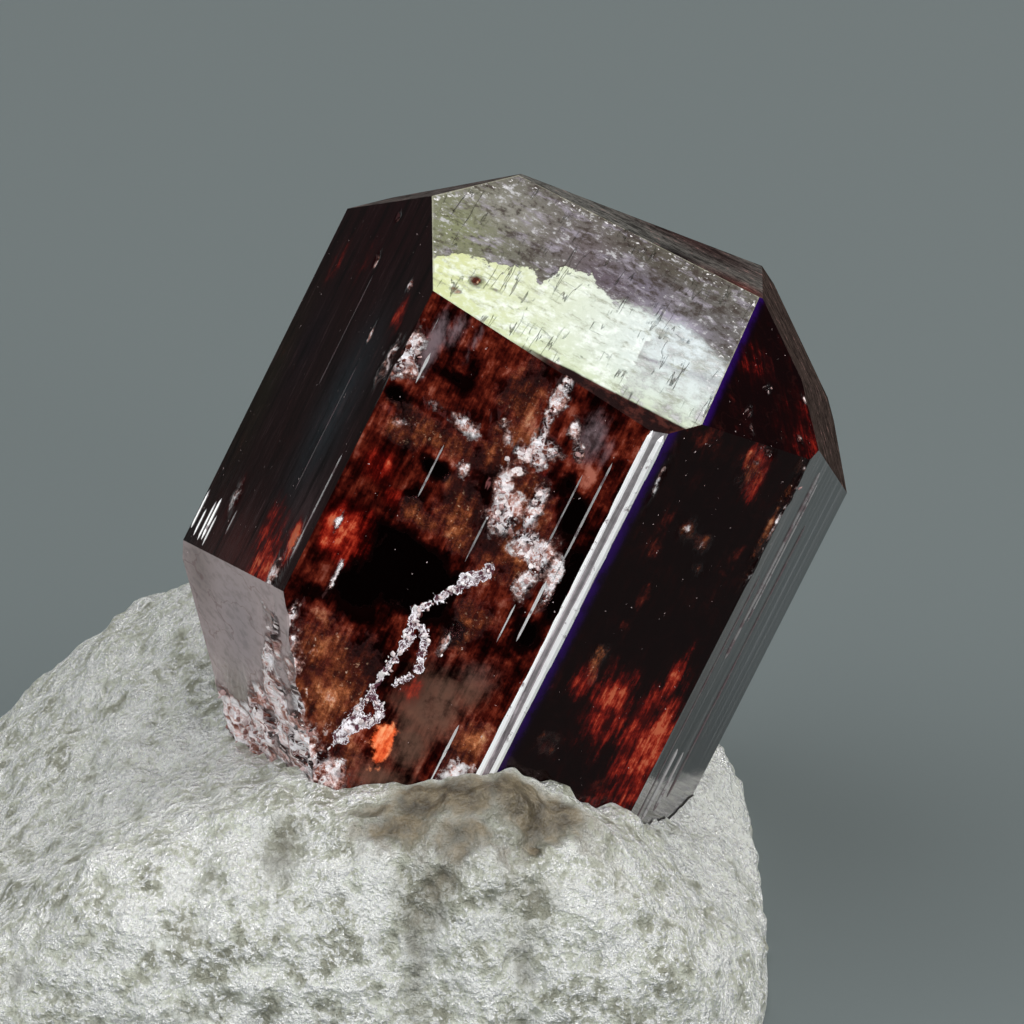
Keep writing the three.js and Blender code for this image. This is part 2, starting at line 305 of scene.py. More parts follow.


# %% [markdown]
# ## What lies in and on the faces
# The crystal is clear deep red, nearly black where it is thick. Cracks inside it throw light back as red and
# orange glows; these glows, and the bright flame, are painted on the faces as colour. Brown crumbly skin,
# pinkish white crumbs and milky patches cover parts of the front face, and the lower left corner is broken to
# a sugary crust. Each is a list of soft spots, as a gemmologist would map them: across, along, half width,
# half height, strength.

# %% Painted glows, brown skin and crumbs
GLOWS = {
    "front": [(-1.23, 1.24, 0.35, 0.32, 0.75), (-1.44, 0.15, 0.16, 0.4, 1.3),
        (-1.25, 0.15, 0.45, 0.5, 0.85), (0.89, 2.25, 0.2, 0.13, 0.75), (-0.25, -1.55, 0.2, 0.3, 0.75),
        (1.05, 0.0, 0.3, 0.4, 0.5), (0.65, -1.35, 0.3, 0.25, 0.6), (-0.85, 0.92, 0.25, 0.2, 0.6)],
    "left": [(1.85, -1.1, 0.35, 0.5, 1.3), (1.6, -0.9, 0.6, 0.7, 0.9), (1.25, -0.5, 0.45, 0.5, 0.85),
        (2.35, -0.35, 0.3, 0.45, 1.0), (-0.65, -0.55, 0.2, 0.35, 0.7), (2.13, 3.2, 0.3, 0.35, 0.55),
        (-1.3, 3.2, 0.3, 0.5, 0.4), (-0.2, 3.4, 0.5, 0.6, 0.35)],
    "right": [(-1.95, -0.2, 0.3, 0.35, 0.9), (-1.25, -0.35, 0.3, 0.6, 1.0), (-0.45, -0.6, 0.3, 0.75, 1.0),
        (-0.2, 0.1, 0.2, 0.7, 0.8), (0.12, -0.9, 0.28, 0.75, 1.3), (-0.35, -1.3, 0.3, 0.3, 0.85),
        (0.0, -1.0, 0.55, 1.3, 0.9), (-1.2, -0.5, 0.7, 0.75, 0.8), (-0.6, -1.9, 0.4, 0.3, 0.6),
        (-0.7, 3.6, 0.4, 0.3, 0.9), (-0.6, 3.35, 0.3, 0.35, 0.85), (-2.1, -1.3, 0.25, 0.18, 0.6),
        (-1.7, 2.25, 0.25, 0.2, 0.4), (-2.4, -1.95, 0.4, 0.12, 0.7)],
    "maroon": [(0.5, 0.3, 0.8, 0.6, 0.5), (-0.6, 1.0, 0.6, 0.4, 0.45)],
    "back_right": [(0.5, -0.5, 0.6, 1.2, 0.7)],
    "back": [(0.8, 0.5, 0.7, 1.2, 0.5)],
    "back_left": [(-0.6, -0.4, 0.5, 1.0, 0.6)],
}
FLAME = {
    "front": [(0.63, -2.28, 0.15, 0.32, 1.3)],
}
BROWNS = {
    "front": [(0.45, 2.2, 0.5, 0.5, 0.7), (0.95, 1.3, 0.45, 0.7, 0.8), (-0.3, -1.6, 0.35, 0.45, 1.0),
        (-0.93, -1.6, 0.35, 0.5, 0.85), (0.15, 1.15, 0.25, 0.35, 1.3), (-0.8, -2.2, 0.35, 0.3, 1.1),
        (-0.5, -2.2, 0.5, 0.4, 1.0), (-0.8, 2.0, 0.7, 0.16, 0.9), (-1.13, 1.79, 0.22, 0.17, 1.1),
        (0.1, 1.25, 0.28, 0.38, 0.9), (0.36, 0.9, 0.22, 0.22, 1.2), (-0.57, 0.9, 0.12, 0.18, 1.1),
        (-0.25, 0.82, 0.3, 0.12, 0.7), (0.2, 3.1, 0.3, 0.4, 0.75), (0.3, 2.5, 0.3, 0.15, 1.0),
        (0.68, 2.55, 0.25, 0.18, 1.3), (0.8, 1.6, 0.35, 0.6, 1.15), (1.27, 0.95, 0.22, 0.3, 1.2),
        (1.75, -1.85, 0.25, 0.5, 1.0), (1.0, 0.0, 0.3, 0.45, 0.6), (0.22, -2.75, 0.14, 0.14, 1.2),
        (-0.1, -2.6, 0.6, 0.25, 0.7)],
    "right": [(-2.1, -1.25, 0.2, 0.15, 0.6), (0.2, 3.0, 0.1, 0.8, 0.5), (-1.46, 2.34, 0.22, 0.15, 0.85),
        (-1.0, 2.2, 0.16, 0.12, 0.8), (-0.8, 1.85, 0.15, 0.1, 0.65), (-0.75, 3.45, 0.25, 0.25, 0.75),
        (-1.9, 0.1, 0.15, 0.3, 0.6)],
    "maroon": [(1.5, 1.2, 0.6, 0.6, 0.5)],
    "bright": [(-1.82, 0.79, 0.07, 0.08, 1.5), (-1.47, 0.82, 0.03, 0.03, 1.4), (-1.6, 0.8, 0.18, 0.02, 0.7),
        (-2.0, 0.45, 0.06, 0.03, 1.0)],
}
CRUMBLY = {
    "front": [(-1.6, 2.85, 0.2, 0.36, 1.3), (-1.38, 2.68, 0.1, 0.15, 1.1), (-0.37, 2.34, 0.28, 0.13, 1.15),
        (0.66, 3.35, 0.13, 0.45, 1.4), (0.8, 2.6, 0.26, 0.16, 1.4), (0.66, 2.95, 0.1, 0.3, 1.1),
        (0.78, 2.38, 0.14, 0.16, 1.1), (0.55, 2.35, 0.2, 0.16, 1.2), (1.05, 3.0, 0.13, 0.16, 1.0),
        (1.24, 2.75, 0.13, 0.16, 0.95), (0.5, 1.8, 0.18, 0.24, 1.4), (0.6, 2.12, 0.17, 0.16, 1.2),
        (0.72, 1.45, 0.3, 0.35, 1.3), (1.05, 1.75, 0.12, 0.36, 1.5), (1.2, 1.25, 0.3, 0.2, 1.4),
        (1.45, 1.1, 0.15, 0.3, 1.45), (1.4, 0.7, 0.14, 0.28, 1.15), (1.72, 1.05, 0.13, 0.2, 1.1),
        (1.77, 0.75, 0.07, 0.25, 1.2), (-0.1, 1.75, 0.12, 0.12, 0.8), (0.1, 2.6, 0.16, 0.1, 0.9),
        (-0.9, 2.35, 0.25, 0.08, 0.8), (-1.3, 1.98, 0.2, 0.08, 0.7), (0.25, 2.45, 0.1, 0.1, 0.9),
        (-1.35, -2.0, 0.4, 0.6, 1.1), (-0.9, -2.95, 0.8, 0.6, 1.3), (-0.2, -3.0, 0.6, 0.3, 1.2),
        (-0.5, -2.7, 0.3, 0.25, 1.2), (-1.1, -2.4, 0.25, 0.3, 1.1), (-1.42, -1.35, 0.09, 0.35, 1.2),
        (-0.1, -2.72, 0.15, 0.12, 0.9), (0.22, -2.8, 0.12, 0.1, 0.9), (1.8, -2.15, 0.25, 0.3, 0.75),
        (-1.09, -0.5, 0.03, 0.28, 0.9), (-1.4, 0.25, 0.04, 0.2, 0.8), (0.77, -0.62, 0.05, 0.2, 0.9)],
    "foot_left": [(0.2, 1.3, 1.3, 0.34, 1.5), (1.3, 1.02, 0.6, 0.36, 1.5), (1.75, 0.45, 0.3, 0.35, 1.2),
        (2.2, 0.1, 0.2, 0.2, 1.1), (2.2, 0.75, 0.5, 0.4, 1.3), (3.1, 0.8, 0.7, 0.65, 1.3)],
    "right": [(-1.46, 2.36, 0.08, 0.06, 0.9), (-1.0, 2.15, 0.06, 0.05, 0.8), (-0.6, 3.8, 0.14, 0.07, 1.0),
        (-0.75, 3.6, 0.06, 0.05, 0.9), (0.3, 2.9, 0.05, 0.9, 0.65), (-2.5, 2.9, 0.05, 0.4, 0.6)],
    "maroon": [(0.3, 0.2, 0.05, 0.05, 1.2), (-0.3, 0.7, 0.05, 0.05, 1.1), (0.6, 0.75, 0.08, 0.04, 1.1),
        (-0.86, 0.33, 0.04, 0.06, 1.3), (-0.87, 0.1, 0.035, 0.08, 1.2)],
    "left": [(0.23, 3.6, 0.06, 0.12, 1.2), (2.0, 3.64, 0.06, 0.07, 1.3), (1.44, 2.71, 0.05, 0.14, 1.2),
        (2.27, -0.95, 0.16, 0.35, 1.0), (2.5, -0.35, 0.07, 0.25, 1.1), (2.6, 2.6, 0.2, 0.3, 0.8),
        (-0.65, -0.55, 0.14, 0.2, 0.75), (0.24, 4.3, 0.05, 0.06, 1.0)],
}
MILKY = {
    "front": [(1.35, 3.0, 0.2, 0.35, 1.0), (1.62, 2.9, 0.08, 0.25, 0.6), (-1.33, 3.1, 0.1, 0.5, 1.3),
        (-1.1, 3.5, 0.09, 0.25, 1.0), (-0.8, 3.45, 0.05, 0.3, 0.7), (1.4, -0.95, 0.35, 0.4, 0.8),
        (1.0, -1.45, 0.5, 0.55, 1.2), (0.95, -2.1, 0.3, 0.4, 1.0), (0.8, -2.75, 0.6, 0.3, 0.8)],
    "left": [(1.61, 1.4, 0.35, 0.9, 0.55), (2.4, 0.4, 0.2, 0.7, 0.5)],
}
for marks in (GLOWS, FLAME, BROWNS, CRUMBLY, MILKY):
    print("spots:", {name: len(rows) for name, rows in marks.items()})

# %% [markdown]
# ## The vein and the clearings
# A white vein wanders over the front face, with a loop halfway and a fork at its foot. It is given by
# the corners of its path. A thin brownish skin lies over the black glass of most faces, and the
# clearings are the places where it is thin.

# %% The vein, the skin and its clearings
VEIN_PATHS = [np.array(path) for path in (
    [(0.02, -2.49), (0.1, -1.92), (0.167, -1.38), (0.236, -1.01), (0.27, -0.73), (0.2, -0.33),
     (0.38, -0.07), (0.6, 0.3), (0.88, 0.68)],
    [(0.236, -0.5), (0.5, -0.6), (0.6, -0.95), (0.54, -1.2), (0.42, -1.4)],
    [(0.1, -1.75), (0.38, -1.8), (0.38, -2.0), (0.2, -2.15), (0.05, -2.3)])]
SKIN_STRENGTH = {
    "front": 1.1, "right": 0.4, "maroon": 0.35, "back": 0.7, "back_left": 0.6, "back_right": 0.6,
    "crown_back": 0.6}
CLEARINGS = {  # where the brownish skin is thin and the black glass shows
    "front": [(-0.5, 1.6, 0.34, 0.17, 1.2), (-0.45, 0.12, 0.95, 0.48, 1.9), (-0.9, 3.15, 0.7, 0.3, 0.5),
        (0.2, 2.95, 0.4, 0.3, 0.4), (-0.2, -0.3, 0.5, 0.4, 0.8), (0.35, -0.1, 0.35, 0.3, 1.0),
        (-0.6, 1.05, 0.25, 0.2, 0.8), (-0.75, -0.35, 0.55, 0.45, 1.1), (0.15, -0.25, 0.4, 0.35, 1.0),
        (-1.5, 2.25, 0.35, 0.22, 1.1), (-0.8, 2.85, 0.35, 0.14, 0.8), (0.85, -0.35, 0.25, 0.35, 0.8),
        (1.55, 0.4, 0.2, 0.4, 0.7), (-1.2, -0.8, 0.3, 0.2, 0.7), (0.5, 0.35, 0.25, 0.25, 0.8),
        (1.6, 1.95, 0.25, 0.45, 1.1), (1.95, 0.9, 0.2, 0.8, 1.1), (1.75, 0.1, 0.3, 0.4, 1.0),
        (1.35, 2.3, 0.2, 0.3, 0.8), (0.93, 2.26, 0.17, 0.13, 0.9)],
    "right": [(-0.9, 3.2, 0.8, 0.5, 0.9), (-1.0, 1.7, 0.5, 0.5, 0.9), (-0.3, 1.0, 0.5, 0.7, 1.0),
        (-2.0, -2.1, 0.6, 0.3, 0.8), (-1.2, -2.0, 0.35, 0.5, 1.0), (-2.3, 1.0, 0.3, 1.5, 0.9)],
}
print("corners of the vein's paths:", [len(path) for path in VEIN_PATHS])

# %% [markdown]
# ## Relief
# The crust and the crumbs stand a little proud of the faces. The height is layered noise times the
# strength of the marks there. Points on an edge belong to two or three sheets, so their push is along
# the mean of those faces' normals and uses the strongest mark, and the sheets still meet afterwards.

# %% Push the crumbly places out and join the sheets
CRUST_HEIGHT = 0.07

glow, brown = spots_on_faces(GLOWS), spots_on_faces(BROWNS)
crumbly, milky = spots_on_faces(CRUMBLY), spots_on_faces(MILKY)
murk = np.array([SKIN_STRENGTH.get(name, 0.0) for name in FACES])[face_of_point]
murk = np.clip(murk - spots_on_faces(CLEARINGS), 0, 1.2)

_, place_of = np.unique(np.round(crystal_points / 1e-4).astype(np.int64), axis=0, return_inverse=True)
place_of = place_of.ravel()
joined_points = np.zeros((place_of.max() + 1, 3))
joined_points[place_of] = crystal_points
push_axis = np.zeros_like(joined_points)
np.add.at(push_axis, place_of, normals[face_of_point])
push_axis /= np.linalg.norm(push_axis, axis=1, keepdims=True)
crust = np.zeros(len(joined_points))
np.maximum.at(crust, place_of, (crumbly + 0.35 * brown) * on(*SHOWN))

grit = rough_noise(joined_points, 0.3, 3, seed=4)
joined_points = joined_points + push_axis * (CRUST_HEIGHT * np.clip(crust, 0, 1) * grit)[:, None]
print("crust stands up to", round(float((CRUST_HEIGHT * crust * grit).max()), 3), "mm proud")

# %% [markdown]
# ## The crystal's stance
# The crystal leans to the right and back in its seat. Its long axis is turned by three angles, one
# after the other, and its own origin is then moved to its place over the marble.

# %% Stand the crystal in its place
SEAT = np.array([2.07, -0.29, 5.61])
LEAN_BACK, LEAN_RIGHT, NOD = 18, 26.7, 6.8


def turn(degrees, axis):
    """The matrix of a turn about X or Y."""
    c, s = math.cos(math.radians(degrees)), math.sin(math.radians(degrees))
    if axis == "X":
        return np.array([[1, 0, 0], [0, c, -s], [0, s, c]])
    return np.array([[c, 0, s], [0, 1, 0], [-s, 0, c]])


STANCE = turn(-LEAN_BACK, "X") @ turn(LEAN_RIGHT, "Y") @ turn(NOD, "X")


def stand(points):
    """Points of the crystal's own frame, where they are on the marble."""
    return points @ STANCE.T + SEAT


crystal = new_mesh("painite_faces", stand(joined_points), place_of[crystal_triangles])
stood = stand(joined_points)
print("crystal box in mm:", np.round(stood.min(axis=0), 2), np.round(stood.max(axis=0), 2))

# %% [markdown]
# ## Films on the faces
# Not every face is polished glass. The big bright end face has a satin skin, and its silvery look is partly
# painted reflection. The narrow right side is grey and striated. The grey of the lower left face and the pale
# film of the narrow face right of the front are painted reflections. Each face gets the colour of its skin,
# and how much of the red glass the skin hides. Soft clouds of other colours are laid over them one after the
# other.

# %% Films: colour and cover of each face
FILMS = {
    "bright": ((0.1, 0.1, 0.085), 0.95), "right_bevel": ((0.012, 0.01, 0.01), 0.92),
    # The pale film of front_bevel is a painted reflection.
    "front_bevel": ((0.62, 0.54, 0.58), 0.95), "right": ((0.002, 0.0002, 0.0004), 0.25),
    # The grey of foot_left is a painted reflection of the grey surroundings.
    "foot_left": ((0.5, 0.4, 0.4), 0.94), "left": ((0.012, 0.004, 0.004), 0.9),
    "maroon": ((0.012, 0.001, 0.003), 0.3), "top": ((0.14, 0.135, 0.125), 0.8),
    "shoulder_right": ((0.062, 0.044, 0.038), 0.8), "shoulder_right_low": ((0.062, 0.044, 0.038), 0.8),
    "crown_left": ((0.1, 0.085, 0.08), 0.8), "crown_back": ((0.1, 0.06, 0.06), 0.1),
    "back_right": ((0.1, 0.05, 0.05), 0.1), "back": ((0.08, 0.03, 0.03), 0.1),
    "back_left": ((0.08, 0.05, 0.05), 0.1), "foot_back_left": ((0.2, 0.17, 0.165), 0.6)}
TINTS = {  # soft clouds: across, along, half width, half height, colour
    # On the left face, the bluish cloud at 1.5 across is a painted sheen.
    "left": [(-1.6, 1.0, 0.5, 1.4, (0.012, 0.009, 0.005)), (1.5, 1.5, 0.7, 1.6, (0.016, 0.021, 0.025)),
        (0.5, -1.2, 1.5, 0.6, (0.05, 0.014, 0.013)), (-0.8, 2.0, 0.5, 0.8, (0.01, 0.005, 0.007)),
        (0.0, 3.9, 1.6, 1.0, (0.014, 0.002, 0.003)), (2.2, -0.1, 0.5, 0.6, (0.05, 0.03, 0.032))],
    "right_bevel": [(-1.6, 1.0, 0.5, 3.5, (0.05, 0.03, 0.022)), (0.0, -1.9, 1.5, 0.5, (0.12, 0.11, 0.1)),
        (1.8, 1.0, 0.8, 3.0, (0.012, 0.014, 0.024))],
    "front_bevel": [(-0.4, 3.2, 0.4, 0.5, (0.5, 0.48, 0.5)), (-0.4, -2.6, 0.4, 0.6, (0.1, 0.06, 0.06))],
    # The grey clouds on foot_left are part of its painted reflection.
    "foot_left": [(-1.5, 0.2, 0.8, 0.35, (0.3, 0.23, 0.22)), (0.3, 0.9, 0.8, 0.25, (0.3, 0.26, 0.23)),
        (0.4, 0.35, 0.9, 0.35, (0.4, 0.33, 0.34))],
    # On the bright face, the pale and yellowish clouds are painted reflection.
    "bright": [(-2.5, 1.6, 0.7, 0.8, (0.17, 0.19, 0.1)), (-1.9, 2.3, 0.6, 0.4, (0.2, 0.2, 0.17)),
        (-0.6, 2.3, 0.8, 0.5, (0.1, 0.085, 0.09)), (0.3, 2.2, 0.6, 0.35, (0.13, 0.12, 0.16)),
        (-0.2, 1.95, 0.5, 0.25, (0.08, 0.065, 0.085)), (0.4, 2.8, 0.9, 0.35, (0.05, 0.05, 0.035)),
        (1.5, 2.1, 0.6, 0.5, (0.09, 0.09, 0.09)), (0.9, 1.9, 0.5, 0.12, (0.3, 0.28, 0.36)),
        (1.4, 1.08, 0.8, 0.2, (0.33, 0.35, 0.38))],
    "top": [(0.5, -1.5, 0.5, 0.7, (0.008, 0.007, 0.008)), (1.55, -1.3, 0.6, 0.8, (0.1, 0.035, 0.03)),
        (0.3, 1.6, 1.6, 1.6, (0.05, 0.03, 0.028))],
    "crown_left": [(-2.0, 0.0, 1.2, 3.0, (0.012, 0.006, 0.007))],
}
films = [FILMS.get(name, ((0, 0, 0), 0.0)) for name in FACES]
film = np.array([(*colour, cover) for colour, cover in films])[face_of_point]
for name, rows in TINTS.items():
    for *spot, colour in rows:
        amount = (bell(across, along, *spot) * on(name))[:, None]
        film[:, :3] += amount * (np.array(colour) - film[:, :3])
print("films on", len(FILMS), "faces")

# %% [markdown]
# ## The polish on the bright face
# The lower part of the bright face is polished, and its colour there is a painted reflection of the light
# above it: yellowish at the left, bluish at the right and yellower near its lower edge. Its upper part is
# dull. The line between them is given as a path across the face, and a thin dull wedge runs into the polish
# from the right. The finish roughens this line later.

# %% Where the bright face is polished
POLISHED_TO = np.array([  # across the bright face, and how far inward its polish still reaches
    (-2.45, 0.9), (-2.1, 1.2), (-1.66, 1.27), (-1.3, 1.48), (-1.15, 1.5), (-1.05, 1.2), (-0.97, 1.5),
    (-0.85, 1.82), (-0.5, 1.9), (0.0, 1.66), (0.5, 1.75), (1.1, 1.83), (1.6, 1.65), (2.0, 1.48)])
# Colours of the painted reflection on the polish: at the left, at the right and near the lower edge.
REFLECTION_YELLOWISH, REFLECTION_BLUISH, REFLECTION_LOW_DOWN = np.array([(0.52, 0.56, 0.27), (0.56, 0.63, 0.66), (0.46, 0.54, 0.28)])

on_bright = on("bright")
past_polish = along - np.interp(across, POLISHED_TO[:, 0], POLISHED_TO[:, 1])
from_tip = across - 0.8
wedge = np.exp(-((along - 0.95 - 0.2 * from_tip) / (0.04 + 0.05 * np.clip(from_tip, 0, 1.2))) ** 2)
past_polish = np.maximum(past_polish, np.where(across > 0.7, 0.12 * wedge - 0.06, -1))
dull = on_bright * (0.5 + 0.5 * np.clip(past_polish / 0.6, -1, 1))
to_right = np.clip((across + 2.3) / 3.2, 0, 1)[:, None]
reflection_low_down = np.exp(-np.clip(along, 0, 3) / 0.45)[:, None]
painted_reflection = (1 - to_right) * REFLECTION_YELLOWISH + to_right * REFLECTION_BLUISH
painted_reflection = painted_reflection + reflection_low_down * (REFLECTION_LOW_DOWN - painted_reflection) * 0.8
print("polished points:", int((on_bright & (dull < 0.5)).sum()), "of", int(on_bright.sum()))

# %% [markdown]
# ## Distances to edges and to the vein
# Some marks follow an edge: a painted violet glow, the colour fringe that bright light throws, lies along two
# of them, and the bright face has painted glints and a painted highlight at its rim. The vein needs the
# distance to its path. Both are measured once here and stored on the mesh together with the marks, as colour
# attributes that the finish reads.

# %% Measure the edges and the vein, and store all marks
gap = (distances - crystal_points @ normals.T) / np.sqrt(
    1.0001 - (normals[face_of_point] @ normals.T) ** 2)  # how far to each other face's edge
gap[np.arange(len(gap)), face_of_point] = 9


def sheen(name, other, reach):
    """Falls from 1 at the edge with the other face to 0 at this reach."""
    return np.clip(1 - gap[:, FACES.index(other)] / reach, 0, 1) * on(name)


painted_violet_glow = sheen("right", "front_bevel", 0.33) * (0.45 + 0.55 * np.clip((along + 3) / 3, 0, 1))
painted_violet_glow = painted_violet_glow + sheen("maroon", "bright", 0.2)


def way_off(points, path):
    """How far points of a face lie from a path of straight pieces: for each piece, the distance to the
    nearest place on it, start + t (end - start) with t held between 0 and 1; the least of them all."""
    start, step = path[:-1], np.diff(path, axis=0)
    arms = points[:, None] - start
    t = np.clip((arms * step).sum(axis=-1) / (step**2).sum(axis=-1), 0, 1)
    return np.linalg.norm(arms - t[..., None] * step, axis=-1).min(axis=1)


map_place = np.column_stack([across, along])
vein_off = np.ones(len(crystal_points))
vein_off[on("front")] = np.minimum.reduce([way_off(map_place[on("front")], path) for path in VEIN_PATHS])
kind = 0.25 * on("foot_left") + 0.5 * on("left", "back_left", "back_right") + on("right_bevel", "front_bevel")

corner = crystal_triangles.ravel()
for name, columns in {
    "film": [film],
    "painted_reflection": [painted_reflection, on_bright],
    "marks": [glow, brown, crumbly, milky],
    "special": [spots_on_faces(FLAME), painted_violet_glow, murk, dull],
    "skin": [kind, *(np.clip(c, 0, 1) for c in (gap.min(axis=1), 0.5 + along / 2, vein_off))],
}.items():
    colour_attribute(crystal, name, np.column_stack(columns)[corner], "CORNER")
face_map = crystal.data.uv_layers.new(name="face_map")
face_map.data.foreach_set("uv", map_place[corner].astype(np.float32).ravel())
print("stored the films and marks on", len(corner), "corners")

# %% [markdown]
# ## Building a finish
# A material is a small network of nodes. Here an output of a node is wrapped as a Signal: a number, a
# colour or a place that changes over the surface. Sums on signals add nodes of arithmetic, so that
# each finish below reads as a list of what happens to the surface.

# %% Node helpers
class Finish:
    """A material and its nodes."""

    def __init__(self, name):
        self.material = bpy.data.materials.new(name)
        self.material.use_nodes = True
        self.tree = self.material.node_tree
        self.tree.nodes.clear()

    def put(self, kind, inputs=(), **settings):
        """Adds a node. Inputs are pairs of a socket's name or number and a value or a signal."""
        node = self.tree.nodes.new(kind)
        for key, value in settings.items():
            setattr(node, key, value)
        for key, value in dict(inputs).items():
            if isinstance(value, Signal):
                self.tree.links.new(value.socket, node.inputs[key])
            else:
                node.inputs[key].default_value = value
        return node

    def out(self, kind, inputs=(), output=0, **settings):
        """Adds a node and gives one of its outputs."""
        return Signal(self, self.put(kind, inputs, **settings).outputs[output])

    def millimetres(self):
        """The place on the piece, in millimetres."""
        return self.out("ShaderNodeTexCoord", output="Object").stretched((1 / MM,) * 3)

    def attribute(self, name):
        """The four numbers of a colour attribute, and its colour."""
        node = self.put("ShaderNodeAttribute", attribute_name=name)
        colour, alpha = Signal(self, node.outputs["Color"]), Signal(self, node.outputs["Alpha"])
        return (*colour.parts(), alpha, colour)

    def surface(self, inputs):
        """The shader, set from a dictionary of socket names."""
        shader = self.out("ShaderNodeBsdfPrincipled", inputs)
        output = self.put("ShaderNodeOutputMaterial", {"Surface": shader})
        self.count()
        return output

    def count(self):
        """Says how far the network has grown."""
        print(f"the finish {self.material.name} has {len(self.tree.nodes)} nodes")


class Signal:
    """An output of a node, with short names for the operations that the finishes use."""

    def __init__(self, finish, socket):
        self.finish, self.socket = finish, socket

    def worked(self, operation, *values):
        """One step of arithmetic on numbers or signals."""
        return self.finish.out("ShaderNodeMath", enumerate(values), operation=operation)

    def __add__(self, other):
        return self.worked("ADD", self, other)

    def __mul__(self, other):
        return self.worked("MULTIPLY", self, other)

    def __sub__(self, other):
        return self.worked("SUBTRACT", self, other)

    def __rsub__(self, other):
        return self.worked("SUBTRACT", other, self)

    def __truediv__(self, other):
        return self.worked("DIVIDE", self, other)

    def __abs__(self):
        return self.worked("ABSOLUTE", self)

    def at_least(self, other):
        """The larger of the two."""
        return self.worked("MAXIMUM", self, other)

    __radd__, __rmul__ = __add__, __mul__

    def step(self, low, high, to_low=0.0, to_high=1.0):
        """Turns low..high smoothly into to_low..to_high and holds it there."""
        names = {"Value": self, "From Min": low, "From Max": high, "To Min": to_low, "To Max": to_high}
        return self.finish.out("ShaderNodeMapRange", names, interpolation_type="SMOOTHSTEP")

    def blend(self, first, second):
        """A colour or place: first where this is 0, second where it is 1, and in between a mix."""
        first, second = (end if isinstance(end, Signal) else (*end, 1) for end in (first, second))
        return self.finish.out("ShaderNodeMix", {0: self, 6: first, 7: second}, 2, data_type="RGBA")

    def ramp(self, *stops):
        """A row of colours: each stop is a place from 0 to 1 and a colour."""
        node = self.finish.put("ShaderNodeValToRGB", {0: self})
        elements = node.color_ramp.elements
        for element, (place, colour) in zip((elements[0], elements[1]), (stops[0], stops[-1])):
            element.position, element.color = place, (*colour, 1)
        for place, colour in stops[1:-1]:
            elements.new(place).color = (*colour, 1)
        return Signal(self.finish, node.outputs[0])

    def parts(self):
        """Red, green and blue as three numbers."""
        node = self.finish.put("ShaderNodeSeparateColor", {0: self})
        return [Signal(self.finish, socket) for socket in node.outputs]

    def stretched(self, scale, turn=(0, 0, 0)):
        """The same places, scaled apart in each direction."""
        return self.finish.out("ShaderNodeMapping", {"Vector": self, "Scale": scale, "Rotation": turn})

    def grain(self, scale, detail=3.0, roughness=0.55, output=0):
        """Noise from 0 to 1, finer as the scale grows."""
        names = {"Vector": self, "Scale": scale, "Detail": detail, "Roughness": roughness}
        return self.finish.out("ShaderNodeTexNoise", names, output)

    def moved(self, pattern, amount):
        """The same places, moved by a coloured pattern times an amount, so that shapes become ragged."""
        names = {0: pattern, 1: (amount,) * 3, 2: self}
        return self.finish.out("ShaderNodeVectorMath", names, operation="MULTIPLY_ADD")

    def cell_chance(self, scale):
        """A random number for each of many rounded cells."""
        return self.finish.out("ShaderNodeTexVoronoi", {"Vector": self, "Scale": scale}, "Color").parts()[0]

    def web(self, scale, width):
        """Thin lines between rounded cells: near 1 where the edge between two cells is closer than width."""
        names = {"Vector": self, "Scale": scale}
        edge = self.finish.out("ShaderNodeTexVoronoi", names, "Distance", feature="DISTANCE_TO_EDGE")
        return edge.step(0.4 * width, width, 1.0, 0.0)

    def hairline(self, scale, width):
        """Thin wandering lines, drawn where a noise passes through its middle value."""
        return abs(self.grain(scale, 3, 0.5) - 0.5).step(0.4 * width, width, 1.0, 0.0)

    def broken(self, pattern, weight, low, high):
        """A soft spot broken up by a pattern: strength + weight (pattern - 1/2), cut between low and high.
        Where the spot has no strength at all, nothing is left."""
        return (self + (pattern - 0.5) * weight).step(low, high) * self.step(0.0, 0.25)

    def relief(self, millimetres):
        """Tilts the shading as if the surface rose by this, a number from 0 to 1, times the distance."""
        names = {"Height": self, "Distance": millimetres * MM, "Strength": 1.0}
        return self.finish.out("ShaderNodeBump", names)


# %% [markdown]
# ## The crystal's finish: patterns
# One set of noises serves all the marks, so that their ragged edges belong together. Streaks run along
# the crystal's axis because it grew that way. On the foot face they are turned to run across. Cells
# with a web of thin lines between them stand for crumbs of broken crystal.

# %% Patterns on the crystal
glass = Finish("painite")
face_place = glass.out("ShaderNodeUVMap", uv_map="face_map")
across_way, inward_way, _ = face_place.parts()
face_kind, from_edge, height_up, from_vein, _ = glass.attribute("skin")
streaky = face_kind.step(0.35, 0.45)
on_bevel = face_kind.step(0.7, 0.9)
on_foot = face_kind.step(0.1, 0.2) - streaky
place = on_foot.blend(glass.millimetres(), face_place.stretched((0.27, 1.9, 1.0)))

streaks = face_place.stretched((9, 1.1, 1)).grain(1.0, 6, 0.65)
hairs = face_place.stretched((38, 1.0, 1)).grain(1.0, 2)
broad_streaks = face_place.stretched((3.2, 0.35, 1)).grain(1.0, 6, 0.72)
bands = face_place.stretched((5.5, 0.1, 1)).grain(1.0, 4, 0.6)
coarse, ragged, fine = place.grain(1.3, 5, 0.6), place.grain(3.2, 8, 0.68), place.grain(9.0, 4, 0.62)
glitter = place.grain(15.0, 3, 0.6)

bend = place.grain(7.0, 3.0, 0.5, "Color")
bent_place = place.moved(bend, 0.16)
froth_place = on_foot.blend(face_place.stretched((1.0, 0.65, 1.0)), place).moved(bend, 0.2)
big_crumbs = bent_place.grain(6.5, 4, 0.65)
small_facets = bent_place.cell_chance(19.0)
web = froth_place.web(5.6, 0.12).at_least(bent_place.web(13.0, 0.12) * 0.5)
glass.count()

